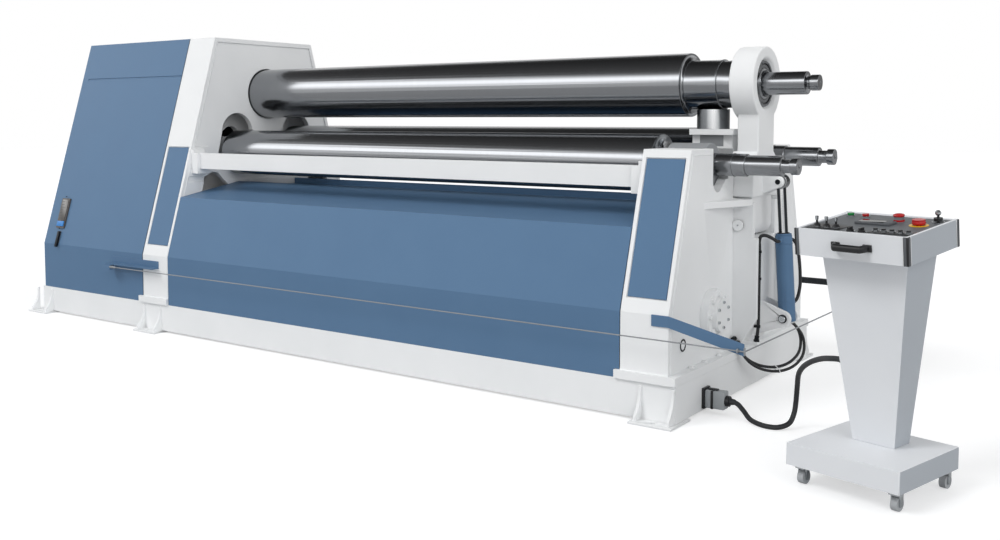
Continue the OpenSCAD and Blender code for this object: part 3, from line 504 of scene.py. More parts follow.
SAG_SHIFT = Vector((-18, 0, 18))
TWIN_ROUTE = [Vector(p) + SAG_SHIFT for p in SAG_ROUTE]
print("route points:", [len(r) for r in (CABLE_ROUTE, SAG_ROUTE, BARREL_ROUTE, YOKE_ROUTE)])

# %% [markdown]
# The riser crosses the cylinder's foot joint. This one curve is made a mesh.

# %% Cable, hoses and riser
cable, cable_length = hose("console_cable", CABLE_ROUTE, 11, cable_rubber, "frame", "power_cable")
sag_hose, sag_length = hose("sag_hose_front", SAG_ROUTE, 7, hose_rubber, "frame", "tilt_hoses")
sag_twin = hose("sag_hose_rear", TWIN_ROUTE, 7, hose_rubber, "frame", "tilt_hoses")[0]
barrel_hose, barrel_length = hose("barrel_pipe", BARREL_ROUTE, 8, hose_rubber, "tilt_barrel",
                                  "barrel_hose")
riser_curve, riser_length = hose("riser_curve", YOKE_ROUTE, 8, hose_rubber)
riser_hose = new_object("riser_hose", bpy.data.meshes.new_from_object(riser_curve))
bpy.data.objects.remove(riser_curve)
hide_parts("yoke_hose")
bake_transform(riser_hose)

# %% [markdown]
# Each cord's length is measured along its curve.

# %% Lengths of the cords
print("cords in metres:", round(cable_length, 3), round(sag_length, 3), round(riser_length, 3),
      round(barrel_length, 3))

# %% [markdown]
# The details are turned, cut and bent shapes, as in the workshop. Each helper adds one such
# shape to a bmesh in drawing millimetres: a turned profile, a bevelled block, a plate cut
# to an outline, or a bead along a path. A piece is then a handful of these shapes joined.

# %% Shape helpers
def aim(point, direction):
    """Matrix that stands local Z along a direction at a point of the drawing."""
    along = Vector(direction).normalized()
    return Matrix.Translation(Vector(point)) @ along.to_track_quat("Z", "Y").to_matrix().to_4x4()


def add_shape(bm, part, place):
    """Closes a shape, turns its faces outwards, puts it in place and joins it to bm."""
    bmesh.ops.remove_doubles(part, verts=part.verts, dist=0.01)
    bmesh.ops.recalc_face_normals(part, faces=part.faces)
    bmesh.ops.transform(part, matrix=place, verts=part.verts)
    carrier = bpy.data.meshes.new("carrier")
    part.to_mesh(carrier)
    part.free()
    bm.from_mesh(carrier)
    bpy.data.meshes.remove(carrier)


def add_turned(bm, profile, place, segments):
    """Spins a profile of (radius, height) pairs round local Z."""
    part = bmesh.new()
    line = [part.verts.new((r, 0, z)) for r, z in profile]
    edges = [part.edges.new(pair) for pair in zip(line, line[1:])]
    bmesh.ops.spin(part, geom=line + edges, cent=(0, 0, 0), axis=(0, 0, 1), angle=2 * math.pi,
                   steps=segments, use_merge=True)
    add_shape(bm, part, place)


def round_edges(part, edge):
    """Bevels every edge of a shape, where it is given an edge radius."""
    if edge:
        bmesh.ops.bevel(part, geom=part.edges[:], offset=edge, affect="EDGES", segments=2,
                        profile=0.5, material=-1)


def add_block(bm, corner, opposite, place=Matrix(), edge=0.0):
    """Block between two opposite corners, given in any order."""
    part = bmesh.new()
    bmesh.ops.create_cube(part, size=1)
    size = [abs(b - a) for a, b in zip(corner, opposite)]
    middle = [(a + b) / 2 for a, b in zip(corner, opposite)]
    bmesh.ops.scale(part, vec=size, verts=part.verts)
    bmesh.ops.translate(part, vec=middle, verts=part.verts)
    round_edges(part, edge)
    add_shape(bm, part, place)


def add_plate(bm, outline, thick, place, edge):
    """Outline of local X and Y, extruded along local Z."""
    part = bmesh.new()
    face = part.faces.new([part.verts.new((x, y, 0)) for x, y in outline])
    grown = bmesh.ops.extrude_face_region(part, geom=[face])
    moved = [v for v in grown["geom"] if isinstance(v, bmesh.types.BMVert)]
    bmesh.ops.translate(part, vec=(0, 0, thick), verts=moved)
    round_edges(part, edge)
    add_shape(bm, part, place)


# %% [markdown]
# A weld, a tie or a handle's bar is a bead along a path. Rings, pins and bolt heads are
# turned. A spin of six steps makes a hexagon, which is why a nut needs no shape of its own.

# %% Beads, rings and bolts
def add_bead(bm, points, radius, closed=False, sides=2):
    """Round bead, pipe or weld along a path of drawing points."""
    curve, spline = round_curve("bead", points, radius, sides)
    spline.use_cyclic_u = closed
    holder = bpy.data.objects.new("bead", curve)
    bm.from_mesh(holder.to_mesh())
    holder.to_mesh_clear()
    bpy.data.objects.remove(holder)
    bpy.data.curves.remove(curve)


def add_ring(bm, outer, inner, height, place, chamfer=0.8, segments=48):
    """Washer or collar with chamfered outer edges."""
    add_turned(bm, [(inner, 0), (outer - chamfer, 0), (outer, chamfer), (outer, height - chamfer),
                    (outer - chamfer, height), (inner, height), (inner, 0)], place, segments)


def sized(profile, radius):
    """Profile given in shares of a radius."""
    return [(radius * r, radius * z) for r, z in profile]


def add_hex_bolt(bm, point, direction, radius):
    """Washer and hexagon head with a chamfered top."""
    place = aim(point, direction)
    add_turned(bm, sized([(0, 0), (1.25, 0), (1.25, 0.18), (0, 0.18)], radius), place, 20)
    add_turned(bm, sized([(0, 0.18), (1, 0.18), (1, 0.75), (0.86, 0.88), (0, 0.88)], radius),
               place, 6)


def add_socket_bolt(bm, point, direction, radius):
    """Round socket head with its hexagon hole."""
    add_turned(bm, sized([(0, 0.5), (0.5, 0.5), (0.5, 1.1), (0.9, 1.1), (1, 1), (1, 0), (0, 0)],
                         radius), aim(point, direction), 18)


# %% [markdown]
# The joined shapes then become one piece: carried to metres, shaded, given its finish, and
# set to ride on a body. A piece with edges broad enough to be seen takes a bevel as well.

# %% From shapes to a piece
def make_piece(name, bm, material, body, edge_mm=0.0):
    """Carries a bmesh in drawing millimetres to the row, and rides it on a body."""
    bmesh.ops.transform(bm, matrix=TO_ROW, verts=bm.verts)
    if edge_mm:
        mark_outer_edges(bm)
    mesh = bpy.data.meshes.new(name)
    bm.to_mesh(mesh)
    bm.free()
    smooth(mesh)
    mesh.materials.append(material)
    made = new_object(name, mesh)
    if edge_mm:
        add_bevel(made, edge_mm)
    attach(made, body)
    print("piece:", name, "with", len(mesh.polygons), "faces")
    return made


# %% [markdown]
# Welded plate shows its seams. A bead a few millimetres thick runs where the side plates of
# a stand meet its skins, up both sides of the pedestal, and in two level lines beside its
# head. Both stands have the same outline but for their height, so one function draws it.

# %% Outline of the stands
LOW_X, LOW_END = 3157, 3393
TALL_W, TALL_Z, LOW_Z = 243, 1840, 1184.5
FRONT_Y, REAR_Y, MID_Y = -835, 803, -16
KNEE_Z, LEAN = 474.5, math.radians(16.29)
BASE_TOP, LEDGE_Z = 176, 214.5


def stand_line(top, bottom, inset):
    """Front half of a stand's outline in Y and Z, drawn in by inset."""
    face = KNEE_Z - inset * math.tan(LEAN / 2)
    slope_y = FRONT_Y + (top - KNEE_Z) * math.tan(LEAN)
    crown = slope_y + inset * (1 - math.sin(LEAN)) / math.cos(LEAN)
    return [(FRONT_Y + inset, bottom), (FRONT_Y + inset, face), (crown, top - inset)]


def add_outline_bead(bm, x, line, radius, rear):
    """Bead at x along a Y and Z outline, mirrored to the rear half where rear is set."""
    add_bead(bm, [(x, 2 * MID_Y - y if rear else y, z) for y, z in line], radius)


# %% Weld beads of the stands
BEAD_R, INSET = 3.2, 26
beads = bmesh.new()
for rear, foot_y in ((False, FRONT_Y), (True, REAR_Y)):
    low_line = stand_line(LOW_Z, LEDGE_Z + 2, INSET) + [(-412, LOW_Z - INSET)]
    add_outline_bead(beads, LOW_END, low_line, BEAD_R, rear)
    tall_line = stand_line(TALL_Z, LEDGE_Z + 2, INSET) + [(MID_Y, TALL_Z - INSET)]
    add_outline_bead(beads, 0, tall_line, BEAD_R, rear)
    add_bead(beads, [(LOW_X, foot_y, LEDGE_Z), (LOW_END, foot_y, LEDGE_Z)], BEAD_R)
    add_bead(beads, [(-TALL_W, foot_y, LEDGE_Z), (0, foot_y, LEDGE_Z)], BEAD_R)
for y0, y1 in ((-820, -160), (160, 790)):
    add_bead(beads, [(LOW_END, y0, LEDGE_Z), (LOW_END, y1, LEDGE_Z)], BEAD_R)
for y in (-158, 158):
    add_bead(beads, [(LOW_END, y, LEDGE_Z), (LOW_END, y, 905)], 2.4)
for side in (-1, 1):
    for z in (912, 943):
        add_bead(beads, [(LOW_END, side * 489, z), (LOW_END, side * 160, z)], 2.2)
make_piece("stand_weld_beads", beads, white_enamel, "frame")

# %% [markdown]
# The drop end holds the roll in a tapered cartridge with a spherical bearing. From outside
# one sees its retaining ring, the dark seal, and the inner race on the roll's journal.

# %% Bearing rings of the drop end
ROLL_Z = 1490
CARTRIDGE_X = 3471
rings = bmesh.new()
along_x = aim((CARTRIDGE_X, 0, ROLL_Z), (1, 0, 0))
add_ring(rings, 110, 98, 9, along_x, 1.5, 96)
add_ring(rings, 92, 76.5, 5, along_x, 1.0, 96)
for k in range(8):
    a = math.radians(45 * k + 22.5)
    add_socket_bolt(rings, (CARTRIDGE_X + 9, 104 * math.cos(a), ROLL_Z + 104 * math.sin(a)),
                    (1, 0, 0), 3.4)
make_piece("bearing_rings", rings, turned_steel, "frame", 0.4)
seal = bmesh.new()
add_ring(seal, 98, 91, 3, along_x, 0.6, 96)
make_piece("bearing_seal", seal, hose_rubber, "frame")

# %% [markdown]
# A stop ring is shrunk on each neck and the tails end in a centre hole from the lathe. On
# the side rolls a thin collar marks where the journal enters its housing.

# %% Roll details
def roll_details(name, axis, rings_at, end_x):
    bm = bmesh.new()
    y, z = axis
    for x, radius, width in rings_at:
        add_ring(bm, radius + 2.2, radius - 1, width, aim((x, y, z), (1, 0, 0)), 0.8, 96)
    add_turned(bm, [(0, 0.2), (3, 0.2), (7, 1.4), (9, 1.4), (9, -1), (0, -1)],
               aim((end_x, y, z), (1, 0, 0)), 24)
    make_piece(name + "_collars", bm, turned_steel, name, 0.3)


ROLL_LEN = 3100
FRONT_AXIS, REAR_AXIS = (-264.06, 1106.87), (233.69, 1135.44)
roll_details("top_roll", (0, ROLL_Z),
             [(ROLL_LEN + 2, 121, 6), (3270, 121, 6), (3360, 116, 5)], 3748)
roll_details("front_roll", FRONT_AXIS, [(3440, 53, 5)], 3749)
roll_details("rear_roll", REAR_AXIS, [(3440, 53, 5)], 3749)

# %% [markdown]
# The hinge pin hides behind a painted cap with one screw. The tilt cylinder's foot pin has
# bright heads, and its upper pin, in the yoke's ears, has black ones.

# %% Pin heads
HINGE, FOOT_PIN, EAR_PIN = (3420, 815), (3609, 369), (3568, 1021)
caps = bmesh.new()
for side in (-1, 1):
    place = aim((HINGE[0], side * 163, HINGE[1]), (0, side, 0))
    add_turned(caps, [(0, 0), (27, 0), (27, 3), (25, 5), (6, 5), (5, 4), (0, 4)], place, 48)
make_piece("hinge_caps", caps, white_enamel, "frame")
heads = bmesh.new()
for side in (-1, 1):
    add_hex_bolt(heads, (HINGE[0], side * 167, HINGE[1]), (0, side, 0), 3.5)
make_piece("hinge_cap_screws", heads, bright_zinc, "frame")
foot_heads = bmesh.new()
for side in (-1, 1):
    place = aim((FOOT_PIN[0], side * 65, FOOT_PIN[1]), (0, side, 0))
    add_turned(foot_heads, [(0, 0), (16, 0), (16, 5), (13.5, 7.5), (5, 7.5), (4, 5.5), (0, 5.5)],
               place, 40)
make_piece("foot_pin_heads", foot_heads, bright_zinc, "frame")
ear_heads = bmesh.new()
for side in (-1, 1):
    place = aim((EAR_PIN[0], side * 42, EAR_PIN[1]), (0, side, 0))
    add_turned(ear_heads, [(0, 0), (12.5, 0), (12.5, 7), (10.5, 9), (4, 9), (3, 7), (0, 7)],
               place, 32)
make_piece("ear_pin_heads", ear_heads, black_steel, "yoke")

# %% [markdown]
# Each hose ends in a crimped ferrule and a hexagon union nut. Both are turned, the nut with
# six sides, and they stand on the first two points of the hose's own route.

# %% Hose fittings
def add_fitting(bm, point, direction, radius):
    """Crimped ferrule and union nut, from the port outwards."""
    place = aim(point, direction)
    nut = [(0, -0.5), (1.7, -0.5), (1.7, 9), (1.5, 11), (0, 11)]
    ferrule = [(0, 10), (1.25, 10), (1.42, 12), (1.42, 17), (1.3, 18.5), (1.42, 20), (1.42, 27),
               (1.15, 30), (0, 30)]
    add_turned(bm, [(radius * r, z) for r, z in nut], place, 6)
    add_turned(bm, [(radius * r, z) for r, z in ferrule], place, 24)


def end_of(route, last=False):
    """Point where a route leaves its port, and the way it leaves."""
    points = [Vector(p) for p in route]
    if last:
        points.reverse()
    return points[0], (points[1] - points[0]).normalized()


fittings = bmesh.new()
for route in (SAG_ROUTE, TWIN_ROUTE):
    add_fitting(fittings, *end_of(route), 7)
    add_fitting(fittings, *end_of(route, True), 7)
add_fitting(fittings, *end_of(YOKE_ROUTE, True), 8)
make_piece("hose_fittings", fittings, black_steel, "frame")
barrel_fittings = bmesh.new()
for last in (False, True):
    add_fitting(barrel_fittings, *end_of(BARREL_ROUTE, last), 8)
make_piece("barrel_fittings", barrel_fittings, black_steel, "tilt_barrel")

# %% [markdown]
# A plastic tie holds the two sagging hoses together. It is a bead along an ellipse that lies
# square to their run. Three clips hold the riser to the pedestal, each a collar on a foot.

# %% Hose tie and clips
tie = bmesh.new()
middle = (Vector(SAG_ROUTE[6]) + TWIN_ROUTE[6]) / 2
run = (Vector(SAG_ROUTE[7]) - Vector(SAG_ROUTE[5])).normalized()
lean_to = SAG_SHIFT.normalized()
loop = []
for k in range(24):
    a = 2 * math.pi * k / 24
    reach = lean_to * (22 * math.cos(a)) + run.cross(lean_to) * (9.5 * math.sin(a))
    loop.append(middle + reach)
add_bead(tie, loop, 2.2, closed=True)
make_piece("hose_tie", tie, white_plastic, "frame")
clip = bmesh.new()
for x, y, z in ((3508.5, -112.4, 330), (3510, -114, 560), (3510, -114, 690)):
    add_ring(clip, 11, 8.2, 12, aim((x, y, z - 6), (0, 0, 1)), 0.8, 24)
    add_block(clip, (3489, y - 9, z - 6), (x - 7, y + 9, z + 6), edge=0.6)
make_piece("hose_clips", clip, black_steel, "frame")

# %% [markdown]
# The tilt cylinder is a welded barrel: a gland nut where the rod comes out, and a flat
# weld near each end cap.

# %% Tilt cylinder
tilt_lean = math.atan2(FOOT_PIN[0] - EAR_PIN[0], EAR_PIN[1] - FOOT_PIN[1])
tilt_axis = Vector((-math.sin(tilt_lean), 0, math.cos(tilt_lean)))
foot_at = Vector((FOOT_PIN[0], 0, FOOT_PIN[1]))
gland = bmesh.new()
add_ring(gland, 38, 22.6, 9, aim(foot_at + tilt_axis * 395, tilt_axis), 2.0, 48)
for s in (70, 352):
    add_ring(gland, 41.6, 39.2, 7, aim(foot_at + tilt_axis * s, tilt_axis), 1.2, 64)
make_piece("barrel_gland", gland, blue_enamel, "tilt_barrel", 0.4)
wiper = bmesh.new()
add_ring(wiper, 29, 22.3, 4, aim(foot_at + tilt_axis * 404, tilt_axis), 0.8, 48)
make_piece("rod_wiper", wiper, hose_rubber, "tilt_barrel")

# %% [markdown]
# The pivots of the arms end in flanges, each with a ring of socket screws in its raised hub.

# %% Screws of the pivot flanges
FLANGE_Y, FLANGE_Z, SCREW_CIRCLE = 406, 425, 58
screws = bmesh.new()
for side in (-1, 1):
    for k in range(6):
        a = math.radians(60 * k + 30)
        y, z = side * FLANGE_Y + SCREW_CIRCLE * math.cos(a), FLANGE_Z + SCREW_CIRCLE * math.sin(a)
        add_socket_bolt(screws, (LOW_END + 64, y, z), (1, 0, 0), 7)
make_piece("flange_screws", screws, bright_zinc, "frame")

# %% [markdown]
# The cabinet is folded sheet. Its left side has a louvred door on three hinges with a
# quarter-turn latch. A louvre is a slit with a lip pressed outwards, and a thin tilted block
# in the plate gives the same shade line without a cut.

# %% Cabinet door and louvres
CABINET_X = -1334
LEFT_FACE = Matrix(((0, 0, -1, CABINET_X), (1, 0, 0, 0), (0, 1, 0, 0), (0, 0, 0, 1)))
DOOR_FOOT, DOOR_LEAN, PLATE_THICK = (-430, 830), 0.184, 3
door = bmesh.new()
add_plate(door, [(-560, 300), (540, 300), (430, 760), (-450, 760)], PLATE_THICK, LEFT_FACE, 0.8)
add_plate(door, [DOOR_FOOT, (410, 830), (250, 1700), (-270, 1700)], PLATE_THICK, LEFT_FACE, 0.8)
for louvre in range(9):
    z = 1080 + louvre * 34
    for y in (-200, 20):
        place = (Matrix.Translation((CABINET_X - PLATE_THICK, y, z))
                 @ Matrix.Rotation(math.radians(-28), 4, "Y"))
        add_block(door, (-9, 0, -1.2), (3, 170, 1.2), place, 0.5)
make_piece("cabinet_door", door, blue_enamel, "frame")
hinges = bmesh.new()
for z in (900, 1250, 1600):
    y = DOOR_FOOT[0] + (z - DOOR_FOOT[1]) * DOOR_LEAN + 6
    add_turned(hinges, [(0, 0), (7, 0), (8, 2), (8, 58), (7, 60), (0, 60)],
               aim((CABINET_X - 8, y, z - 30), (0, 0, 1)), 20)
add_turned(hinges, [(0, 0), (16, 0), (16, 4), (13, 6), (4, 6), (0, 6)],
           aim((CABINET_X - PLATE_THICK, 300, 1240), (-1, 0, 0)), 32)
add_block(hinges, (CABINET_X - 12, 296, 1228), (CABINET_X - 8, 304, 1252), edge=1)
for y, z in ((-480, 330), (460, 330), (-390, 730), (370, 730)):
    add_socket_bolt(hinges, (CABINET_X - PLATE_THICK, y, z), (-1, 0, 0), 6)
make_piece("cabinet_hinges", hinges, black_steel, "frame")

# %% [markdown]
# The front of the cabinet leans back. It has a dark oil level gauge with a blue band, and a
# slim lift latch below it. One matrix stands on the slope, with X from the cabinet's left
# face, Y into the sheet and Z up the slope from its knee, so the blocks in it stay square.

# %% Oil level gauge and latch
SLOPE = Matrix.Translation((CABINET_X, FRONT_Y, KNEE_Z)) @ Matrix.Rotation(-LEAN, 4, "X")
gauge = bmesh.new()
add_block(gauge, (118, -13, 120), (189, -10, 307), SLOPE, 0.8)
make_piece("gauge_window", gauge, gauge_glass, "frame")
scale = bmesh.new()
for k in range(7):
    add_block(scale, (126, -13.8, 176 + k * 19), (150 if k % 4 else 170, -13, 178 + k * 19), SLOPE)
for z in (108, 327):
    add_socket_bolt(scale, SLOPE @ Vector((154, -10, z)), SLOPE.to_3x3() @ Vector((0, -1, 0)), 4)
make_piece("gauge_marks", scale, black_steel, "frame")
band = bmesh.new()
add_block(band, (116, -15, 122), (191, -9, 158), SLOPE, 1)
make_piece("gauge_band", band, gauge_float, "frame")
latch = bmesh.new()
add_block(latch, (148, -17, -20), (170, -3, 88), SLOPE, 3)
make_piece("latch_pull", latch, black_steel, "frame")

# %% [markdown]
# The narrow gap round the cabinet's edge, where it meets the tall stand, lies in shade. A thin
# bead in a dark, unlit paint is that shade painted in.

# %% Painted shade in the seam between the cabinet and the stand
seams = bmesh.new()
for rear in (False, True):
    add_outline_bead(seams, -TALL_W - 1.5, stand_line(TALL_Z, BASE_TOP + 3, -0.4), 1.6, rear)
make_piece("cabinet_seam", seams, shadow_paint, "frame")

# %% [markdown]
# The mains socket is a moulded housing on a black back plate. The plug sits on it with a
# black seam and a latch on top, and the cable leaves the plug through a gland nut.

# %% Mains socket
SOCKET_X = 3430
housing = bmesh.new()
add_block(housing, (SOCKET_X + 12, -565, 27), (SOCKET_X + 42, -511, 107), edge=4)
add_block(housing, (SOCKET_X + 50, -565, 27), (SOCKET_X + 104, -511, 107), edge=5)
make_piece("socket_housing", housing, grey_plastic, "frame")
seam = bmesh.new()
add_block(seam, (SOCKET_X + 40, -567, 25), (SOCKET_X + 52, -509, 109), edge=3)
add_block(seam, (SOCKET_X + 20, -548, 106), (SOCKET_X + 66, -528, 114), edge=2)
add_turned(seam, [(0, 0), (21, 0), (21, 10), (18, 14), (18, 19), (0, 19)],
           aim((SOCKET_X + 104, -538, 66), (1, 0, 0)), 32)
for y, z in ((-567, 31), (-509, 31), (-567, 106), (-509, 106)):
    add_socket_bolt(seam, (SOCKET_X + 12, y, z), (1, 0, 0), 3.5)
make_piece("socket_seams", seam, black_plastic, "frame")
relief = bmesh.new()
add_turned(relief, [(0, -1), (16, -1), (15, 6), (12.5, 20), (11.4, 24), (0, 24)],
           aim(*end_of(CABLE_ROUTE)), 28)
add_turned(relief, [(0, -1), (19, -1), (18, 6), (13, 28), (11.4, 32), (0, 32)],
           aim(*end_of(CABLE_ROUTE, True)), 28)
make_piece("cable_reliefs", relief, cable_rubber, "frame")

# %% [markdown]
# The tower of the support piston has a thin grey plate on its front and rear.

# %% Tower plates
tower_plates = bmesh.new()
for y0, y1 in ((-61, -59.5), (59.5, 61)):
    add_block(tower_plates, (3172, y0, 1187), (3296, y1, 1241), edge=0.4)
make_piece("tower_plates", tower_plates, grey_enamel, "frame")

# %% [markdown]
# A round inspection cover sits low on the outer plate of the drop end's stand. Its dark
# gasket shows as a ring.

# %% Inspection cover
gasket = bmesh.new()
for y in (-701, 2 * MID_Y + 701):
    add_ring(gasket, 28.5, 21, 2.2, aim((LOW_END + 3.8, y, 328), (1, 0, 0)), 0.6, 48)
make_piece("inspection_gaskets", gasket, black_steel, "frame")

# %% [markdown]
# The safety wire is tensioned by an eye bolt on the left bracket and runs through a small
# ring at the tip of the arm.

# %% Safety wire fittings
WIRE_Y, WIRE_Z = -900.8, 382.5
wire_parts = bmesh.new()
add_turned(wire_parts, [(0, 0), (7, 0), (7, 46), (4, 52), (0, 52)],
           aim((-490, WIRE_Y, WIRE_Z), (1, 0, 0)), 16)
add_ring(wire_parts, 9, 3.2, 8, aim((3730, WIRE_Y, WIRE_Z), (1, 0, 0)), 0.8, 20)
make_piece("wire_fittings", wire_parts, grey_enamel, "frame")

# %% [markdown]
# The console is a folded sheet box on casters, turned a little and with a tilted desk. The
# places of its controls are those of the source, measured on the control plate.

# %% Console frames
CONSOLE_TURN, DESK_TILT = math.radians(-13.6), math.radians(6.5)
DESK_W, DESK_D, DESK_H = 425, 353, 98
CONSOLE = Matrix.Translation((4329, -1093, 0)) @ Matrix.Rotation(CONSOLE_TURN, 4, "Z")
DESK = CONSOLE @ Matrix.Translation((0, -DESK_D / 2, 834)) @ Matrix.Rotation(DESK_TILT, 4, "X")
PLATE = DESK @ Matrix.Translation((0, 0, DESK_H - 4))
STICK_X, STICK_Y = (-164, -126, -88), 66
SELECTOR_X, SELECTOR_Y = (-13, 30), 30
START_AT, OFF_AT, STOP_AT, LEVER_AT = (-160, 285), (-100, 285), (140, 215), (172, 290)
SMALL_AT = [(62 + i * 30, 66) for i in range(5)]


def on_plate(at, z=0.0):
    """Matrix that stands a shape on the control plate."""
    return PLATE @ Matrix.Translation((*at, z))


# %% [markdown]
# Dark extruded profiles close the four upright corners of the desk. A light trim runs along
# each profile, and a black stripe down its outer edge.

# %% Corner profiles of the desk
profiles, trims, stripes = bmesh.new(), bmesh.new(), bmesh.new()
for x, out_x in ((-DESK_W / 2, -1), (DESK_W / 2, 1)):
    for y, out_y in ((0, -1), (DESK_D, 1)):
        add_block(profiles, (x - out_x * 16, y - out_y * 2, 0),
                  (x + out_x * 1.5, y + out_y * 2, DESK_H), DESK, 1.2)
        add_block(profiles, (x - out_x * 2, y - out_y * 16, 0),
                  (x + out_x * 2, y + out_y * 1.5, DESK_H), DESK, 1.2)
        trim_x, trim_y = x - out_x * 17.5, y - out_y * 17.5
        add_block(trims, (trim_x - 1.4, y, 0.5), (trim_x + 1.4, y + out_y * 2.4, DESK_H - 0.5),
                  DESK, 0.4)
        add_block(trims, (x, trim_y - 1.4, 0.5), (x + out_x * 2.4, trim_y + 1.4, DESK_H - 0.5),
                  DESK, 0.4)
        add_block(stripes, (x + out_x * 2.2, y + out_y * 2.6, 0.8),
                  (x - out_x * 5, y - out_y * 5, DESK_H - 0.8), DESK, 1)
make_piece("desk_corner_profiles", profiles, profile_coat, "frame")
make_piece("desk_corner_stripes", stripes, black_plastic, "frame")
make_piece("desk_corner_trims", trims, white_plastic, "frame")

# %% [markdown]
# The control plate carries two darker sub-plates and a raised display with a dark window.
# All are flat blocks with a small bevel, each standing a little proud of the one below it.

# %% Sub-plates and display
sub_plates = bmesh.new()
add_block(sub_plates, (-192, 40, 0), (-62, 118, 1.6), PLATE, 0.6)
add_block(sub_plates, (44, 40, 0), (198, 96, 1.6), PLATE, 0.6)
make_piece("control_sub_plates", sub_plates, black_plastic, "frame")
display = bmesh.new()
add_block(display, (-76, 163, 0), (58, 217, 9), PLATE, 2.5)
make_piece("display_box", display, profile_coat, "frame")
glass = bmesh.new()
add_block(glass, (-66, 170, 8.4), (30, 210, 9.8), PLATE, 0.5)
make_piece("display_window", glass, display_glass, "frame")

# %% [markdown]
# Panel controls are held by bright ring nuts, which the eye takes for their bezels. Each
# entry has a ring's outer radius, inner radius and height, its places, and how high it
# stands on the plate.

# %% Bezels and plate screws
bezels = bmesh.new()
BEZELS = [((12, 8.4, 4.5), SMALL_AT, 1.4), ((13, 10, 4), [(x, STICK_Y) for x in STICK_X], 1.4),
          ((16, 13.6, 4), [(x, SELECTOR_Y) for x in SELECTOR_X], 0),
          ((15.5, 12.6, 5), (START_AT, OFF_AT), 0), ((22, 18.8, 2.6), (LEVER_AT,), 0)]
for size, places, z in BEZELS:
    for at in places:
        add_ring(bezels, *size, on_plate(at, z), 0.8, 32)
for x in (-198, 198):
    for y in (22, DESK_D - 22):
        add_socket_bolt(bezels, PLATE @ Vector((x, y, 0)), PLATE.to_3x3() @ Vector((0, 0, 1)), 3.2)
make_piece("control_bezels", bezels, bright_zinc, "frame")

# %% [markdown]
# Five small buttons, a red mushroom head and the yellow ring round the stop button are fixed
# in this model. Moulded buttons have a domed top and a soft rim, which a profile of a few
# points gives when it is turned.

# %% Fixed buttons
caps = bmesh.new()
for at in SMALL_AT:
    add_turned(caps, [(0, 7), (6, 7), (7.6, 9), (7.6, 12), (6.6, 13), (0, 13)], on_plate(at), 28)
make_piece("small_buttons", caps, black_plastic, "frame")
mushroom = bmesh.new()
add_turned(mushroom, [(0, 0), (19, 0), (19, 6), (11, 8), (11, 15), (18.5, 17), (20.5, 21),
                      (18.5, 25), (11, 27.5), (0, 28.2)], on_plate((42, 262)), 40)
make_piece("mushroom_cap", mushroom, red_plastic, "frame")
ring = bmesh.new()
add_ring(ring, 33, 22.5, 2.2, on_plate(STOP_AT), 0.8, 48)
make_piece("stop_ring", ring, yellow_plastic, "frame")

# %% [markdown]
# The handle is one moulded arch: two screwed feet and a bar with an oval section between
# them. A round bead along a bowed path gives the bar, and stretching it in height makes its
# section oval.

# %% Console handle
GRIP_FROM, GRIP_TO, GRIP_OUT = -52, 68, 33
handle = bmesh.new()
arch = []
for k in range(33):
    t = k / 32
    out = GRIP_OUT * min(1, 3.4 * math.sin(math.pi * t)) ** 0.8
    arch.append(Vector((GRIP_FROM + (GRIP_TO - GRIP_FROM) * t, -1 - out, 0)))
add_bead(handle, arch, 8.8, sides=5)
bmesh.ops.scale(handle, vec=(1, 1, 1.5), verts=handle.verts)
for x in (GRIP_FROM, GRIP_TO):
    add_block(handle, (x - 17, -6, -13), (x + 17, 0.5, 13), edge=3)
for x in (-62, 78):
    add_socket_bolt(handle, (x, -6, 0), (0, -1, 0), 3)
bmesh.ops.transform(handle, matrix=DESK @ Matrix.Translation((0, 0, DESK_H / 2)),
                    verts=handle.verts)
handle_piece = make_piece("handle_arch", handle, black_plastic, "frame")
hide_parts("console_handle")

# %% [markdown]
# The moving controls get their chrome and their caps as separate pieces that ride on the
# control's own body, so they tip and turn with it.

# %% Heads of the moving controls
STICK_HEAD = [(0, 29.5), (5.3, 29.5), (6.8, 42), (5.8, 43.6), (0, 43.8)]
LEVER_HEAD = [(0, 27), (6.5, 29.5), (10.4, 35), (10.4, 41), (6.5, 46.5), (0, 48.4)]
UNDERSIDE = -4  # the heads are measured from the underside of the control plate
for number, x in enumerate(STICK_X, 1):
    head = bmesh.new()
    add_turned(head, STICK_HEAD, on_plate((x, STICK_Y), UNDERSIDE), 28)
    make_piece(f"stick_{number}_head", head, bright_zinc, f"joystick_{number}")
lever = bmesh.new()
add_turned(lever, LEVER_HEAD, on_plate(LEVER_AT, UNDERSIDE), 28)
make_piece("lever_head", lever, bright_zinc, "side_lever")
stop = bmesh.new()
add_turned(stop, [(0, 8), (21, 8), (23.2, 12), (23.2, 16), (21.5, 20.5), (15, 23.4), (0, 24.4)],
           on_plate(STOP_AT, UNDERSIDE), 48)
make_piece("stop_cap", stop, red_plastic, "stop_button")
for name, at, body, material, slot_name in (
        ("start_cap", START_AT, "start_button", green_plastic, "green_plastic"),
        ("off_cap", OFF_AT, "off_button", red_plastic, "red_plastic")):
    cap = bmesh.new()
    add_turned(cap, [(0, 9), (11, 9), (12.2, 11), (12.2, 15.5), (11, 17.2), (0, 17.8)],
               on_plate(at, UNDERSIDE), 32)
    make_piece(name, cap, material, body)
for number, x in enumerate(SELECTOR_X, 1):
    mark = bmesh.new()
    add_block(mark, (x - 0.9, 18, 13.6), (x + 0.9, 29, 14.4), PLATE)
    make_piece(f"selector_{number}_mark", mark, white_plastic, f"selector_{number}")

# %% [markdown]
# The floor is a pale sheet that runs far behind the machine. To the camera it adds a little
# light of its own, so it reads as the photograph's white paper while the machine's soft
# shadow stays on it.

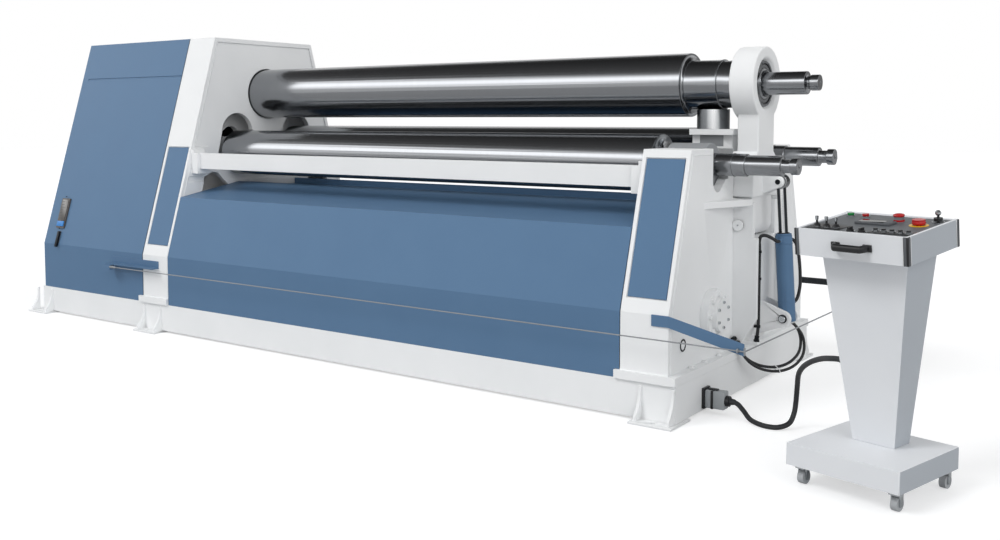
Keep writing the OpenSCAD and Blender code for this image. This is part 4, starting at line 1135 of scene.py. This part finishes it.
# %% Floor
FLOOR_LIFT = 0.52
floor_bm = bmesh.new()
bmesh.ops.create_grid(floor_bm, x_segments=1, y_segments=1, size=40)
floor_mesh = bpy.data.meshes.new("floor")
floor_bm.to_mesh(floor_mesh)
floor_bm.free()
floor = new_object("floor", floor_mesh)
floor_material, floor_tree, floor_shader = new_material(
    "pale floor", {"Base Color": srgb("C9CACB"), "Roughness": 0.9, "Specular IOR Level": 0.1})
rays = add_node(floor_tree, "ShaderNodeLightPath")
lift = add_node(floor_tree, "ShaderNodeMath", {"operation": "MULTIPLY", 1: FLOOR_LIFT},
                {0: rays.outputs["Is Camera Ray"]})
floor_tree.links.new(lift.outputs[0], floor_shader.inputs["Emission Strength"])
floor_shader.inputs["Emission Color"].default_value = (1, 1, 1, 1)
floor_mesh.materials.append(floor_material)
print("floor in metres:", list(floor.dimensions))

# %% [markdown]
# Polished steel mirrors a room with one bright band of windows under a dark ceiling, and
# that gives the rolls their one narrow streak. The windows lie at the front, so the back
# wall is mirrored darker. For every other ray the room is an even, pale light.

# %% Room
AMBIENT = 0.55
MIRRORED = 3.5
# Height of the way that a ray looks, 0 at the horizon and 1 straight up, and the brightness
WALLS = [(0.0, 0.26), (0.2, 0.32), (0.31, 0.9), (0.4, 1.0), (0.48, 0.75), (0.57, 0.13),
         (0.7, 0.045), (1.0, 0.03)]
world = bpy.data.worlds.new("room")
bpy.context.scene.world = world
world.use_nodes = True
sky = world.node_tree
sky.nodes.clear()
sky_rays = add_node(sky, "ShaderNodeLightPath")
way_in = add_node(sky, "ShaderNodeTexCoord")
height = add_node(sky, "ShaderNodeSeparateXYZ", links={0: way_in.outputs["Generated"]})
room = add_node(sky, "ShaderNodeValToRGB", links={0: height.outputs["Z"]})
fill_ramp(room, [(place, (level, level, level, 1)) for place, level in WALLS])
white_wall = add_node(sky, "ShaderNodeBackground", {"Color": (1, 1, 1, 1), "Strength": 1.0})
ambient = add_node(sky, "ShaderNodeBackground", {"Color": (1, 1, 1, 1), "Strength": AMBIENT})
front = add_node(sky, "ShaderNodeMapRange",
                 {"From Min": 0.35, "From Max": -0.5, "To Min": 0.3, "To Max": 1.0},
                 {0: height.outputs["Y"]})
side_wall = add_node(sky, "ShaderNodeMath", {"operation": "MULTIPLY", 1: MIRRORED},
                     {0: front.outputs[0]})
mirrored = add_node(sky, "ShaderNodeBackground",
                    links={"Color": room.outputs[0], "Strength": side_wall.outputs[0]})
unseen = add_node(sky, "ShaderNodeMixShader", links={
    0: sky_rays.outputs["Is Glossy Ray"], 1: ambient.outputs[0], 2: mirrored.outputs[0]})
backdrop = add_node(sky, "ShaderNodeMixShader", links={
    0: sky_rays.outputs["Is Camera Ray"], 1: unseen.outputs[0], 2: white_wall.outputs[0]})
add_node(sky, "ShaderNodeOutputWorld", links={"Surface": backdrop.outputs[0]})
print("room: ambient", AMBIENT, "mirrored", MIRRORED)

# %% [markdown]
# A soft lamp stands at the front left, and a wider and weaker one at the right. The faces
# towards the camera's right then fall a step darker, as they do in the photograph. Both are
# suns, because a sun's strength doesn't fall off along six metres, and steel doesn't mirror
# them.

# %% Lamps
for name, energy, degrees, direction in (("soft key", 1.15, 22, (0.36, 0.60, -0.70)),
                                         ("right fill", 1.0, 50, (-0.80, 0.45, -0.35))):
    sun_data = bpy.data.lights.new(name, "SUN")
    sun_data.energy = energy
    sun_data.angle = math.radians(degrees)
    sun = new_object(name, sun_data)
    sun.visible_glossy = False
    sun.rotation_euler = Vector(direction).to_track_quat("-Z", "Y").to_euler()
    print("lamp:", name, "strength", energy)

bpy.context.scene.view_settings.view_transform = "Standard"
